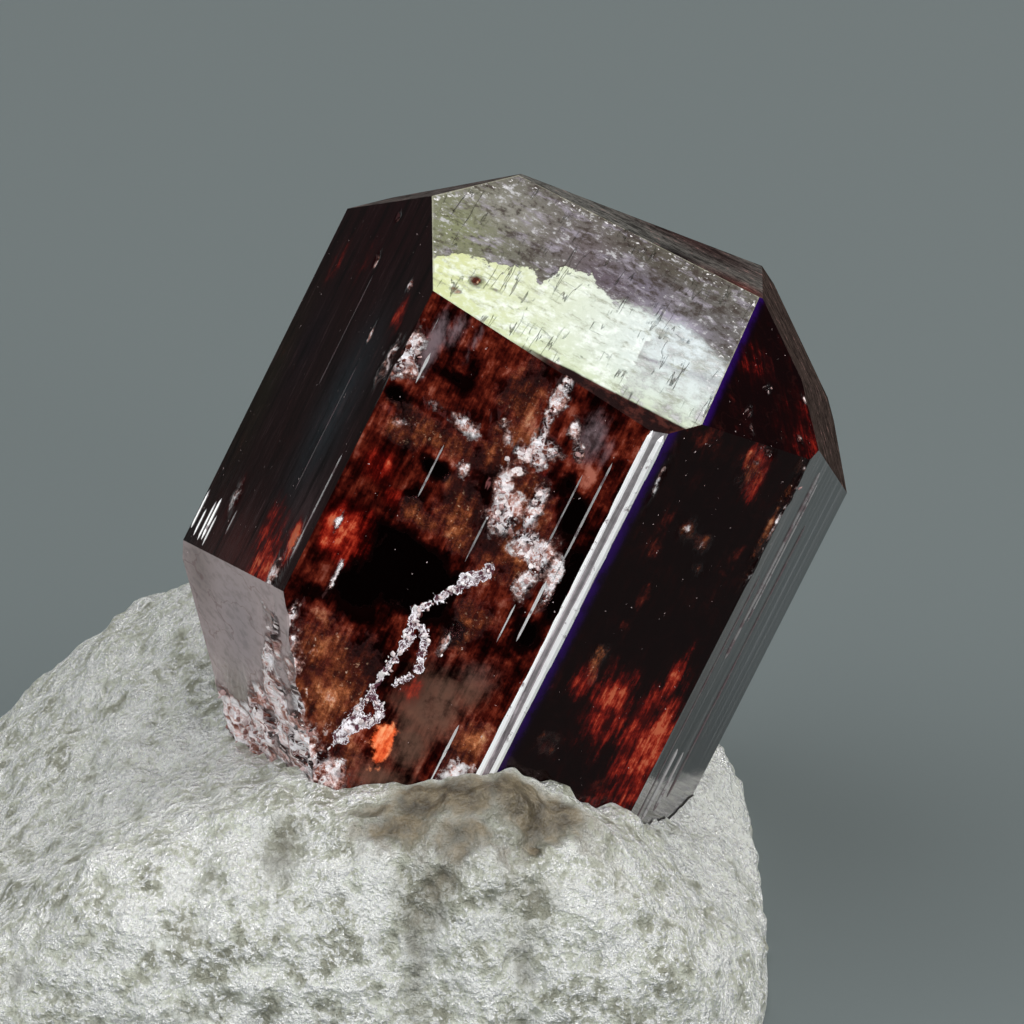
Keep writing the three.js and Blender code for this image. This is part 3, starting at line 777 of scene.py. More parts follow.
# %% [markdown]
# ## Marks with ragged edges
# Each soft spot is broken up by a pattern, so it ends in crumbs or streaks and not in a smooth rim.
# What the marks leave free is covered by the thin skin, called murk here.

# %% Break up the marks
glow_mark, brown_mark, crumb_mark, milk_mark, _ = glass.attribute("marks")
flame_mark, painted_violet_mark, murk_mark, dullness, _ = glass.attribute("special")
_, _, _, film_amount, film_tint = glass.attribute("film")
_, _, _, bright_face, reflection_tint = glass.attribute("painted_reflection")

cloudy = streaks * 0.45 + ragged * 0.55
glows = glow_mark.broken(cloudy, 2.0, 0.0, 1.1)
browns = brown_mark.broken(ragged, 3.0, 0.1, 1.1)
crumbs_here = crumb_mark.broken(ragged, 2.8, 0.35, 0.75)
milk = milk_mark.broken(cloudy, 2.6, 0.1, 1.1)
murky = murk_mark.broken(coarse, 1.6, 0.2, 0.9)
flames = flame_mark.broken(ragged, 3.0, 0.35, 0.8)
# Small pale specks are painted glints.
painted_glint_specks = (glitter + coarse * 0.12).step(0.79, 0.805) * (1.0 - bright_face)
glass.count()

# %% [markdown]
# ## Skin, glow and brown
# The same pattern runs through three rows of colours: nearly black to dull red for the skin, deep red to
# orange for the painted glows, and dark brown to tan for the brown patches.

# %% Colours of the glass
skin_pattern = ragged * 0.45 + streaks * 0.4 + fine * 0.15 + (coarse * 0.5 - 0.25)
murk_colour = (skin_pattern * murky.step(0.1, 1.0, 0.8, 1.04)).ramp(
    (0.4, (0.002, 0.0003, 0.0003)), (0.47, (0.012, 0.0012, 0.0009)), (0.53, (0.05, 0.005, 0.003)),
    (0.59, (0.14, 0.019, 0.009)), (0.68, (0.38, 0.12, 0.08)))
glow_colour = (glows * skin_pattern.step(0.38, 0.64, 0.3, 1.15)).ramp(
    (0.0, (0.01, 0.0004, 0.0004)), (0.3, (0.055, 0.002, 0.0015)), (0.6, (0.2, 0.009, 0.005)),
    (0.85, (0.4, 0.035, 0.015)), (1.0, (0.55, 0.12, 0.055)))
brown_colour = skin_pattern.ramp(
    (0.38, (0.012, 0.0015, 0.001)), (0.48, (0.06, 0.01, 0.004)), (0.55, (0.2, 0.05, 0.016)),
    (0.61, (0.43, 0.135, 0.05)), (0.68, (0.75, 0.38, 0.2)))
brown_colour = glitter.step(0.62, 0.72, 0.0, 0.6).blend(brown_colour, (0.8, 0.5, 0.32))
# The flame is a bright painted glow.
flame_colour = skin_pattern.ramp(
    (0.42, (0.5, 0.03, 0.008)), (0.5, (0.9, 0.15, 0.045)), (0.6, (1.0, 0.42, 0.2)))
milk_colour = height_up.blend((0.13, 0.068, 0.048), (0.2, 0.145, 0.16))
milk_colour = ragged.step(0.3, 0.5, 0.7, 0.0).blend(milk_colour, (0.03, 0.01, 0.008))
glass.count()

# %% [markdown]
# ## The look of crumbs and vein
# A crumbly place is a heap of tiny facets: dark gaps, brown and pink sides, and white glints, which are
# painted. The vein is a band round its path, made ragged by noise, with a white rim and core.

# %% Colours of the crumbs and the vein
facet = ragged * 1.7 + (froth_place.cell_chance(5.6) * 0.55 + small_facets * 0.2 - 0.69)
crumb_colour = facet.ramp(
    (0.3, (0.012, 0.001, 0.001)), (0.46, (0.13, 0.03, 0.02)), (0.6, (0.36, 0.15, 0.11)),
    (0.72, (0.7, 0.44, 0.4)), (0.82, (1.0, 0.95, 0.97)))
strong = crumb_mark.step(0.55, 1.1, 0.15, 1.0)
# A pale web, then two layers of painted white glints.
for amount, colour in ((web * ragged.step(0.4, 0.56), (0.9, 0.8, 0.82)),
                       (big_crumbs.step(0.545, 0.585), (1.0, 0.96, 1.0)),
                       (small_facets.step(0.84, 0.9), (1.0, 0.9, 0.9))):
    crumb_colour = (amount * strong).blend(crumb_colour, colour)

vein_edge = big_crumbs * 0.36 + (from_vein - 0.18) - (coarse.step(0.38, 0.62, -0.035, 0.05) + 0.012)
vein_band = vein_edge.step(0.045, 0.06, 1.0, 0.0)
vein_rim = abs(vein_edge - 0.04).step(0.006, 0.016, 1.0, 0.0)
vein_core = vein_edge.step(-0.02, 0.0, 1.0, 0.0)
vein_white = (vein_band * web * 0.6).at_least(vein_rim.at_least(vein_core)) * fine.step(0.4, 0.52)
glass.count()

# %% [markdown]
# ## The side faces
# The left and right sides carry the fine steps of growth. They show as dark and pale streaks on the colour of
# the face's film. On the two narrow bevels, pale bands are painted highlights. The other dark faces get a few
# faint cracks.

# %% Streaked films
pale_streak = hairs.step(0.56, 0.7) * broad_streaks.step(0.45, 0.64, 0.0, 0.85)
crack = bent_place.hairline(1.1, 0.006) * (1.0 - streaky)
film_shade = film_tint
# The pale bands on the bevels are painted highlights.
for amount, colour in ((broad_streaks.step(0.36, 0.52, 0.8, 0.0) * streaky, (0.002, 0.001, 0.001)),
                       (bands.step(0.5, 0.66) * on_bevel, (0.2, 0.19, 0.195)),
                       (bands.step(0.48, 0.42) * (on_bevel * 0.9), (0.002, 0.001, 0.001)),
                       (pale_streak * streaky, (0.07, 0.04, 0.042)),
                       (fine.step(0.36, 0.55, 0.22, 0.0), (0.008, 0.002, 0.002)),
                       (crack * 0.35, (0.12, 0.03, 0.025))):
    film_shade = amount.blend(film_shade, colour)
glass.count()

# %% [markdown]
# ## The bright face's finish
# Noise decides where the polish is worn through: crisply at the left, and fading at the right. The polish
# carries its painted reflection, with pale and dark patches in it. The dull part is mottled, with painted
# glints near its rim. Scratches run inward and across, a pale painted highlight runs along the rim, and the
# lower edge is worn down to dark glass.

# %% The bright face's polish and wear
fading = across_way.step(-0.7, 0.9, 0.01, 0.13)
worn = ((dullness + ragged * 0.7 + fine * 0.25 - 0.975) / fading).step(-1.0, 1.0)
rough_tone = ragged * 0.6 + fine * 0.4
slanting = face_place.stretched((2.2, 5.5, 1), (0, 0, 0.25)).grain(1.0, 7, 0.72)
dull_shade = film_tint
# Mottling of the dull part. Its last layer is painted glints near the rim.
for amount, colour in ((slanting.step(0.5, 0.64, 0.0, 0.8), (0.27, 0.25, 0.3)),
                       (rough_tone.step(0.52, 0.4, 0.0, 0.9), (0.02, 0.017, 0.012)),
                       (rough_tone.step(0.55, 0.62, 0.0, 0.8), (0.5, 0.5, 0.52)),
                       (glitter.step(0.6, 0.68) * from_edge.step(0.05, 0.4, 0.9, 0.1), (0.85, 0.83, 0.84))):
    dull_shade = amount.blend(dull_shade, colour)
# The painted reflection on the polish, with darker streaks and pale painted highlights in it.
reflection_shade = slanting.step(0.5, 0.34, 0.0, 0.75).blend(reflection_tint, (0.24, 0.26, 0.19))
reflection_shade = rough_tone.step(0.45, 0.64, 0.0, 0.75).blend(reflection_shade, (0.76, 0.82, 0.78))

inward_lines = face_place.stretched((4.5, 0.45, 1), (0, 0, 0.08)).hairline(1.0, 0.009)
across_lines = face_place.stretched((0.35, 2.6, 1), (0, 0, -0.1)).hairline(1.0, 0.005)
scratched = inward_lines.at_least(across_lines * 0.35) * face_place.grain(1.7, 3).step(0.5, 0.6)
# A pale painted highlight along the rim of the face.
edge_highlight = (ragged * 0.12 - 0.045 - from_edge).step(-0.01, 0.01)
edge_wear = (ragged * 0.06 + (inward_way - 0.03)).step(0.09, 0.135, 1.0, 0.0) * across_way.step(-1.1, -0.3)
bright_shade = worn.blend(reflection_shade, dull_shade)
bright_shade = (scratched * 0.6).blend(bright_shade, (0.07, 0.07, 0.055))
bright_shade = (edge_highlight * 0.6).blend(bright_shade, (0.3, 0.3, 0.22))
edge_colour = ragged.step(0.45, 0.6).blend((0.003, 0.0004, 0.0004), (0.06, 0.016, 0.012))
bright_shade = edge_wear.blend(bright_shade, edge_colour)
glass.count()

# %% [markdown]
# ## All layers together
# The layers are laid over each other from the deepest to the outermost. Each has an amount and a
# colour. Where no layer covers the face, the surface is clear glass: the shader's transmission is 1,
# and the volume inside absorbs nearly all green and blue.

# %% Lay the layers over each other
# A painted violet glow along two edges: the colour fringe beside bright light.
painted_violet_glow = painted_violet_mark * ragged.step(0.3, 0.6, 0.7, 1.2)
painted_violet_colour = painted_violet_glow.step(0.3, 1.1).blend((0.004, 0.0004, 0.01), (0.018, 0.002, 0.08))
tint = glows.blend(murk_colour, glow_colour)
for amount, colour in ((milk * 0.85, milk_colour),
                       (film_amount, bright_face.blend(film_shade, bright_shade)),
                       (glows, glow_colour), (browns, brown_colour), (crumbs_here, crumb_colour),
                       (vein_band, (0.09, 0.03, 0.045)), (vein_white, (1.0, 0.95, 1.0)),
                       (painted_glint_specks, (0.7, 0.55, 0.55)), (flames, flame_colour),
                       (painted_violet_glow.step(0.0, 0.7), painted_violet_colour)):
    tint = amount.blend(tint, colour)

cover = glows
for more in (browns, crumbs_here, milk, film_amount, painted_violet_mark, murky, flames, painted_glint_specks, vein_band):
    cover = cover.at_least(more)
clear = cover.step(0.08, 0.14, 1.0, 0.0)
tint = cover.step(0.1, 0.5, 1.0, 0.0).blend(tint, (0.003, 0.0005, 0.0005))
tint = clear.step(0.9, 1.0).blend(tint, (0.6, 0.2, 0.2))
glass.count()

# %% [markdown]
# ## The crystal's shader
# Painite bends light strongly: its refractive index is 1.8. Broken places are rougher and get a fine
# bump, and the bright face has a trace of metal in its shine, because its satin skin looks silvery.

# %% Make the crystal's material
roughness = (crumbs_here * 0.12 + 0.08 + film_amount * 0.06 + streaky * -0.11).at_least(0.03)
roughness = roughness + worn * bright_face * 0.25 + edge_wear * bright_face * 0.6
broken_up = crumbs_here.at_least(browns * 0.6)
bumps = fine * broken_up + hairs * streaky * 0.008
bumps = bumps + scratched * (bright_face * -0.3) + ragged * bright_face * 0.2
output = glass.surface({
    "Base Color": tint, "Roughness": roughness, "IOR": 1.8, "Metallic": bright_face * 0.12,
    "Specular Tint": (0.35, 0.12, 0.12, 1), "Specular IOR Level": 0.22,
    "Transmission Weight": clear, "Normal": bumps.relief(0.12),
})
absorbing = glass.out("ShaderNodeVolumeAbsorption", {"Color": (0.72, 0.03, 0.015, 1), "Density": 1400.0})
glass.tree.links.new(absorbing.socket, output.inputs["Volume"])
crystal.data.materials.append(glass.material)
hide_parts("painite_crystal")
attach(crystal, "root")

# %% [markdown]
# ## Dull shoulders
# The small faces round the top are weathered and hardly shine. A second material on the same mesh
# does that: it takes the colour of their film, with dark mottling and pinkish speckles, and has no
# mirror-like shine at all.

# %% Make the shoulders' material
matt = Finish("painite_shoulder")
matt_place = matt.millimetres()
matt_pattern = matt_place.grain(3.0, 6, 0.7) * 0.6 + matt_place.grain(14.0, 3) * 0.4
matt_shade = matt_pattern.step(0.4, 0.58, 0.8, 0.0).blend(matt.attribute("film")[-1], (0.004, 0.003, 0.003))
matt_shade = matt_pattern.step(0.58, 0.66, 0.0, 0.6).blend(matt_shade, (0.42, 0.22, 0.2))
matt.surface({"Base Color": matt_shade, "Roughness": 0.5, "IOR": 1.8, "Specular IOR Level": 0.0})
crystal.data.materials.append(matt.material)
is_dull = on("top", "shoulder_right", "shoulder_right_low", "crown_left")[crystal_triangles[:, 0]]
crystal.data.polygons.foreach_set("material_index", is_dull.astype(np.int32))
print("dull triangles:", int(is_dull.sum()))

# %% [markdown]
# ## Growth lines
# Painite's prism faces carry fine steps along the axis. The longest show as thin bright lines, painted near
# white as highlights, and two of them edge the narrow face right of the front one. Each is a low ridge: a
# triangle carried along a straight path, whose width swells and fades with noise.

# %% Make the growth lines
# The last column is how white the line is painted, as a highlight.
LINES = {  # across, from, to, width, whiteness
    "front_bevel": [(-0.52, -3.6, 3.5, 0.075, 1.0), (-0.345, -3.6, 3.5, 0.11, 1.0)],
    "front": [(-0.53, 1.1, 1.93, 0.03, 0.45), (0.5, 0.6, 1.33, 0.025, 0.4), (1.455, 1.2, 2.48, 0.03, 0.4),
        (1.76, 0.95, 2.83, 0.035, 0.45), (1.43, -0.2, 0.4, 0.035, 0.8), (1.68, -0.06, 0.92, 0.045, 0.85),
        (1.485, -2.5, -1.5, 0.035, 0.8), (-1.3, 2.52, 3.0, 0.04, 0.8), (-1.42, 2.9, 3.5, 0.025, 0.3)],
    "left": [(-1.85, -1.45, -0.8, 0.05, 1.0), (-1.35, -1.5, -0.85, 0.05, 0.9),
        (-1.2, -1.45, -0.75, 0.06, 1.0), (-1.05, -1.5, -1.0, 0.04, 0.8), (-1.6, -1.5, -1.05, 0.05, 0.9),
        (-0.35, -1.1, -0.7, 0.025, 0.3), (2.6, -0.6, 1.1, 0.03, 0.3), (0.4, 1.6, 3.4, 0.012, 0.06),
        (1.5, 0.2, 2.2, 0.012, 0.08)],
    "right_bevel": [(-0.5, 0.6, 3.7, 0.07, 0.25), (-0.2, 1.2, 3.5, 0.04, 0.3),
        (-0.6, -2.1, -0.9, 0.08, 0.45), (0.05, -2.0, -1.0, 0.06, 0.4), (-1.1, -2.2, 2.0, 0.03, 0.12),
        (0.6, -1.8, 2.8, 0.04, 0.1)],
}


def ridge(name, across, start, end, width, white, seed):
    """A triangle of this width, 0.3 of it proud, carried from start to end in steps of 0.05 mm."""
    steps = np.linspace(0, 1, max(8, int((end - start) / 0.05)))
    path = start + (end - start) * steps
    fade = np.clip((end - start) * 12 * np.minimum(steps, 1 - steps), 0.05, 1)
    wobble = 1 + 0.2 * rough_noise(np.column_stack([path, path * 0 + seed, path * 0]), 0.6, 4, seed=seed)
    half = 0.5 * width * fade * wobble
    sides = np.column_stack([across + half[:, None] * np.array([-1, 0, 1]), path * 0 + across])
    proud = half[:, None] * np.array([0, 0.6, 0, 0]) + np.array([-0.004, 0.004, -0.004, -0.02])
    points = on_face(name, sides, np.repeat(path[:, None], 4, axis=1), proud)
    place = np.arange(len(path) * 4).reshape(-1, 4)
    ends = [place[0, [0, 2, 1]], place[0, [0, 3, 2]], place[-1, [0, 1, 2]], place[-1, [0, 2, 3]]]
    triangles = np.concatenate([ring_walls(place)[:, ::-1], ends])
    return points.reshape(-1, 3), triangles, np.full(place.size, white)


ridges = [ridge(name, *row, seed) for seed, (name, row) in enumerate(
    (name, row) for name, rows in LINES.items() for row in rows)]
line_points, line_triangles = joined([(points, triangles) for points, triangles, _ in ridges])
growth_lines = new_mesh("growth_lines", stand(line_points), line_triangles)
highlight_strength = np.concatenate([white for _, _, white in ridges])
colour_attribute(growth_lines, "tone", np.column_stack([highlight_strength] * 4))

# %% [markdown]
# ## The finish of the lines
# A strong line is painted nearly white, as a highlight, and a weak one dark. Noise breaks both into dashes,
# more so the weak ones.

# %% Make the lines' material
satin = Finish("growth_line")
line_highlight = satin.attribute("tone")[0]
line_colour = line_highlight.blend((0.025, 0.012, 0.014), (0.97, 0.96, 0.97))
line_noise = (1.0 - line_highlight) * -0.12 + satin.millimetres().grain(5.0, 6, 0.7)
line_broken = line_noise.step(0.33, 0.43, 0.85, 0.0)
satin.surface({
    "Base Color": line_broken.blend(line_colour, (0.12, 0.07, 0.08)), "Roughness": 0.3, "IOR": 1.8,
    "Metallic": line_highlight * 0.3,
})
growth_lines.data.materials.append(satin.material)
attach(growth_lines, "root")

# %% [markdown]
# ## Crumbs and grains
# Hundreds of small angular grains lie along the jagged vein, in the crust at the lower left corner and
# in the sparkling patches. A grain is an icosahedron, squashed and turned at random. All the grains
# are one array: grains by twelve points by three numbers.

# %% An angular grain
GOLDEN = (1 + 5**0.5) / 2
ICO_POINTS = np.array([(-1, GOLDEN, 0), (1, GOLDEN, 0), (-1, -GOLDEN, 0), (1, -GOLDEN, 0),
                       (0, -1, GOLDEN), (0, 1, GOLDEN), (0, -1, -GOLDEN), (0, 1, -GOLDEN),
                       (GOLDEN, 0, -1), (GOLDEN, 0, 1), (-GOLDEN, 0, -1), (-GOLDEN, 0, 1)])
ICO_POINTS = ICO_POINTS / np.linalg.norm(ICO_POINTS[0])
ICO_TRIANGLES = np.array([(0, 11, 5), (0, 5, 1), (0, 1, 7), (0, 7, 10), (0, 10, 11), (1, 5, 9), (5, 11, 4),
                          (11, 10, 2), (10, 7, 6), (7, 1, 8), (3, 9, 4), (3, 4, 2), (3, 2, 6), (3, 6, 8),
                          (3, 8, 9), (4, 9, 5), (2, 4, 11), (6, 2, 10), (8, 6, 7), (9, 8, 1)])
chance = np.random.default_rng(7)
print("a grain has", len(ICO_POINTS), "points and", len(ICO_TRIANGLES), "triangles")


def random_turns(count):
    """Turn matrices: the directions of a random quaternion, written out for all the grains at once."""
    quaternions = chance.normal(size=(4, count))
    w, x, y, z = quaternions / np.linalg.norm(quaternions, axis=0)
    rows = [[1 - 2 * (y * y + z * z), 2 * (x * y - z * w), 2 * (x * z + y * w)],
            [2 * (x * y + z * w), 1 - 2 * (x * x + z * z), 2 * (y * z - x * w)],
            [2 * (x * z - y * w), 2 * (y * z + x * w), 1 - 2 * (x * x + y * y)]]
    return np.moveaxis(np.array(rows), -1, 0)


def grains(centres, radii):
    """An angular grain at each centre: the icosahedron's points, stretched, turned and moved."""
    count = len(centres)
    shapes = ICO_POINTS * chance.uniform(0.35, 1.5, (count, 1, 3)) * chance.uniform(0.6, 1.3, (count, 12, 1))
    shapes = np.einsum("gij,gpj->gpi", random_turns(count), shapes) * radii[:, None, None]
    points = (shapes + centres[:, None]).reshape(-1, 3)
    return points, (ICO_TRIANGLES + 12 * np.arange(count)[:, None, None]).reshape(-1, 3)


# %% [markdown]
# ## Where the grains lie
# The first grains are strewn along the vein's three paths. The others fall on the points of the
# crystal with a chance that grows with the strength of the crumbly marks there.

# %% Scatter the grains
def along_path(corners, count, spread):
    """Places strewn along a path of straight pieces, each a little to one side of it."""
    lengths = np.concatenate([[0], np.cumsum(np.linalg.norm(np.diff(corners, axis=0), axis=1))])
    t = np.sort(chance.uniform(0, lengths[-1], count))
    place = np.column_stack([np.interp(t, lengths, corners[:, 0]), np.interp(t, lengths, corners[:, 1])])
    return place + chance.normal(0, spread, (count, 2))


vein_places = np.concatenate([
    along_path(path, count, spread)
    for path, count, spread in zip(VEIN_PATHS, (120, 30, 30), (0.04, 0.035, 0.03))])
vein_centres = on_face("front", *vein_places.T, chance.uniform(-0.03, 0.02, len(vein_places)))
vein_radii = chance.uniform(0.01, 0.045, len(vein_places))

weight = np.clip(crumbly - 0.35, 0, 1) ** 1.5 * np.where(on(*SHOWN), 1, 0.3)
picked = chance.choice(len(crystal_points), 420, p=weight / weight.sum())
patch_centres = crystal_points[picked] + chance.normal(0, 0.03, (len(picked), 3))
patch_centres -= normals[face_of_point[picked]] * chance.uniform(0.0, 0.03, len(picked))[:, None]
patch_radii = chance.uniform(0.012, 0.045, len(picked))

grain_points, grain_triangles = grains(
    np.concatenate([vein_centres, patch_centres]), np.concatenate([vein_radii, patch_radii]))
crumbs = new_mesh("crumbs", stand(grain_points), grain_triangles)
tones = [chance.uniform(0.55, 1, len(vein_radii)), chance.uniform(0.1, 1.0, len(patch_radii))]
colour_attribute(crumbs, "tone", np.column_stack([np.repeat(np.concatenate(tones), 12)] * 4))

sparkle = Finish("crumb")
crumb_tone = sparkle.attribute("tone")[0]
# The palest grains are white, as painted glints.
crumb_tint = crumb_tone.ramp((0.0, (0.2, 0.07, 0.05)), (0.45, (0.5, 0.3, 0.29)), (1.0, (0.95, 0.92, 0.93)))
sparkle.surface({"Base Color": crumb_tint, "Roughness": 0.18, "IOR": 1.8})
crumbs.data.materials.append(sparkle.material)
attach(crumbs, "root")

# %% [markdown]
# ## The marble
# The stone is one closed skin. Its points follow two numbers: a turn round the stone and a ring that
# runs from the middle of the top, over the shoulder and down to the flat base. The outline is a squarish
# oval. The skin is sugary: layers of noise push it in and out, and small pits are sunk in it.

# %% The stone's form
STONE = {"middle": (0.88, 0.0), "left": 8.38, "right": 5.34, "depth": 7.3, "corner": 3.9,
         "shoulder": 2.14, "wall": 2.76}
CREST = {"at": (0.88, -1.0), "height": 3.77, "slope_right": -0.082, "slope_back": 0.079}
BEND = {"across": -0.071, "front": 0.096, "back": 0.009}
LOWEST_TOP = 1.45
SWELLS = [  # place, width, height
    ((2.5, -5.85), 0.95, 0.9), ((-3.5, 3.0), 2.5, 0.92), ((4.07, -3.61), 0.55, 0.45),
    ((4.86, -0.46), 0.72, -0.38)]
PITS = [  # place, width, depth
    ((-0.89, -6.4), 0.38, 0.3), ((-2.03, -6.32), 0.34, 0.24), ((1.09, -7.05), 0.3, 0.3),
    ((2.56, -7.0), 0.3, 0.28), ((2.85, -6.26), 0.28, 0.22), ((-2.56, -1.83), 0.4, 0.2),
    ((-4.65, -6.4), 0.3, 0.2)]
LUMPS = {"height": 0.1, "size": 0.62}


def round_bell(x, y, at, width):
    """e to the power of minus the squared distance over twice the squared width."""
    return np.exp(-((x - at[0]) ** 2 + (y - at[1]) ** 2) / (2 * width**2))


def top_height(x, y):
    """How high the stone would stand if it had no sides: a sloping, bent sheet with swellings on it,
    eased off towards its lowest height h0 as h0 + (over + sqrt(over^2 + 1)) / 2."""
    dx, dy = x - CREST["at"][0], y - CREST["at"][1]
    height = CREST["height"] + CREST["slope_right"] * dx + CREST["slope_back"] * dy
    height += BEND["across"] * dx**2 + np.where(dy < 0, BEND["front"], BEND["back"]) * dy**2
    for at, width, swell in SWELLS:
        height += swell * round_bell(x, y, at, width)
    over = height - LOWEST_TOP
    return LOWEST_TOP + (over + np.hypot(over, 1)) / 2


def unevenness(x, y, z):
    """Two pairs of crossed waves, from -1 to 1."""
    k = 1 / LUMPS["size"]
    slow = np.sin(1.1 * k * x + 0.7 * k * z + 1.3) * np.sin(0.9 * k * y - 0.8 * k * z + 0.4)
    quick = np.sin(2.3 * k * (x + y) + 0.9) * np.sin(2.1 * k * (z - 0.6 * x) + 2.2)
    return 0.65 * slow + 0.35 * quick


def stone_skin(turn, ring):
    """The skin's points. level = cos(ring pi/2) falls from 1 to 0, and reach grows as
    (1 - level^wall)^(1/shoulder). The outline is a superellipse, and z = top height x level."""
    cx, cy = STONE["middle"]
    level = np.cos(ring * math.pi / 2)
    reach = (1 - level ** STONE["wall"]) ** (1 / STONE["shoulder"])
    c, s = np.cos(turn), np.sin(turn)
    round_off = (np.abs(c) ** STONE["corner"] + np.abs(s) ** STONE["corner"]) ** (1 / STONE["corner"])
    x = cx + np.where(c > 0, STONE["right"], STONE["left"]) * reach * c / round_off
    y = cy + STONE["depth"] * reach * s / round_off
    z = top_height(x, y) * level
    inward = LUMPS["height"] * (0.5 + unevenness(x, y, z)) * np.minimum(1, 6 * level)
    for at, width, depth in PITS:
        inward += depth * round_bell(x, y, at, width) * np.minimum(1, 3 * level)
    shrink = 1 - inward * ring / STONE["depth"]
    return np.stack([cx + (x - cx) * shrink, cy + (y - cy) * shrink,
                     np.maximum(0, z - inward * (1 - 0.5 * ring))], axis=-1)


print("the top is", round(float(top_height(*CREST["at"])), 2), "mm high at the crest")


# %% [markdown]
# ## The sugary grain
# The form is the CAD's. The finer grain is added along the skin's own outward direction, which is
# the cross product of its two slopes. The points stand closer together at the front, where the stone
# is looked at.

# %% The stone's skin
TURNS, RINGS = 436, 210
FRONT_CROWDING = 0.55  # how much closer the points stand at the front than at the back
SUGAR = 0.075  # how far the sugary grain reaches in and out

way = np.arange(TURNS) / TURNS - 0.5
turns = -math.pi / 2 + 2 * math.pi * way - FRONT_CROWDING * np.sin(2 * math.pi * way)
skin = stone_skin(turns[None, :], (np.arange(1, RINGS + 1) / RINGS)[:, None])
slope_turn = np.roll(skin, -1, axis=1) - np.roll(skin, 1, axis=1)
skin_out = np.cross(np.gradient(skin, axis=0), slope_turn)
skin_out /= np.linalg.norm(skin_out, axis=-1, keepdims=True) + 1e-9

sugar = rough_noise(skin, 0.7, 3, seed=21) + 0.9 * rough_noise(skin, 0.3, 2, seed=5)
fade_at_base = np.clip(skin[..., 2] / 0.3, 0, 1)
skin = skin + skin_out * (SUGAR * sugar * fade_at_base)[..., None]
skin[..., 2] = np.maximum(0, skin[..., 2])
skin[-1, :, 2] = 0

stone_points = np.concatenate([[skin[0].mean(axis=0)], skin.reshape(-1, 3), [(*STONE["middle"], 0.0)]])
grid = 1 + np.arange(TURNS * RINGS).reshape(RINGS, TURNS)
next_along = np.roll(grid, -1, axis=1)
stone_triangles = np.concatenate([
    np.stack([np.zeros(TURNS, int), grid[0], next_along[0]], axis=-1),
    ring_walls(grid),
    np.stack([grid[-1], np.full(TURNS, len(stone_points) - 1), next_along[-1]], axis=-1),
])
stone = new_mesh("marble_skin", stone_points, stone_triangles)

# %% [markdown]
# ## The seat
# The crystal is sunk into the marble, so the marble must have a hollow that fits it. A Boolean
# modifier cuts it: the cutter is the crystal's own plain form, grown by a hair's breadth.

# %% Cut the seat
SEAT_GAP = 0.02


def plain_crystal(growth):
    """The crystal as its corners and flat faces only, with every face moved outward by growth."""
    grown = cut_corners(distances + growth)
    outlines = [outline(face, grown, distances + growth) for face in range(len(FACES))]
    fans = [(turns[0], p, q) for turns in outlines for p, q in zip(turns[1:-1], turns[2:])]
    return grown, np.array(fans)


cutter_points, cutter_triangles = plain_crystal(SEAT_GAP)
cutter = new_mesh("seat_cutter", stand(cutter_points), cutter_triangles)
cut = stone.modifiers.new("seat", "BOOLEAN")
cut.operation, cut.object, cut.solver = "DIFFERENCE", cutter, "MANIFOLD"
evaluated = stone.evaluated_get(bpy.context.evaluated_depsgraph_get())
seated_mesh = bpy.data.meshes.new_from_object(evaluated)
stone.modifiers.clear()
stone.data = seated_mesh
bpy.data.objects.remove(cutter)
print("marble with its seat:", len(stone.data.vertices), "points,", len(stone.data.polygons), "faces")

# %% [markdown]
# ## Painted shade and light on the marble
# A painted brown shade lies just under the front of the crystal, the hollows get painted grey shade, and some
# places are painted lighter. They are soft spots again, now seen from above.

# %% Where the marble gets painted shade and painted light
# Painted brown shade under the crystal's front, where the relief is also smoothed.
SHADE_UNDER_CRYSTAL = [  # x, y, half width, half depth, strength: brown, glassy places
    (0.5, -6.0, 0.6, 0.2, 0.8), (1.2, -5.9, 0.7, 0.4, 1.1), (1.76, -6.0, 0.8, 0.45, 1.0),
    (2.5, -5.9, 0.8, 0.5, 1.1), (3.05, -5.8, 0.5, 0.4, 1.0), (2.0, -6.4, 1.3, 0.3, 0.55),
    (2.69, -6.31, 0.12, 0.1, 1.2), (3.5, -5.9, 0.6, 0.6, 0.5), (0.9, -6.1, 0.7, 0.3, 0.6),
    (0.8, -6.25, 0.8, 0.3, 0.9), (1.7, -6.45, 0.9, 0.3, 0.8)]
# Painted grey shade in the hollows.
HOLLOW_SHADE = [
    (-0.88, -6.15, 0.42, 0.5, 1.0), (1.5, -6.68, 1.1, 0.3, 0.8), (-0.8, -6.5, 0.2, 0.2, 0.9),
    (0.4, -6.4, 0.5, 0.3, 0.6), (2.7, -6.65, 0.7, 0.35, 0.7), (-1.97, -6.47, 0.35, 0.2, 0.7),
    (-1.84, -4.85, 0.5, 0.6, 0.6), (1.0, -6.85, 0.3, 0.3, 0.9), (-2.14, -6.87, 0.25, 0.15, 0.7),
    (-2.65, -5.6, 0.35, 0.4, 0.6), (2.53, -6.88, 0.3, 0.2, 0.8), (3.33, -6.82, 0.4, 0.2, 0.5),
    (3.6, -6.2, 0.7, 0.5, 0.5), (-4.65, -6.4, 0.3, 0.3, 0.7)]
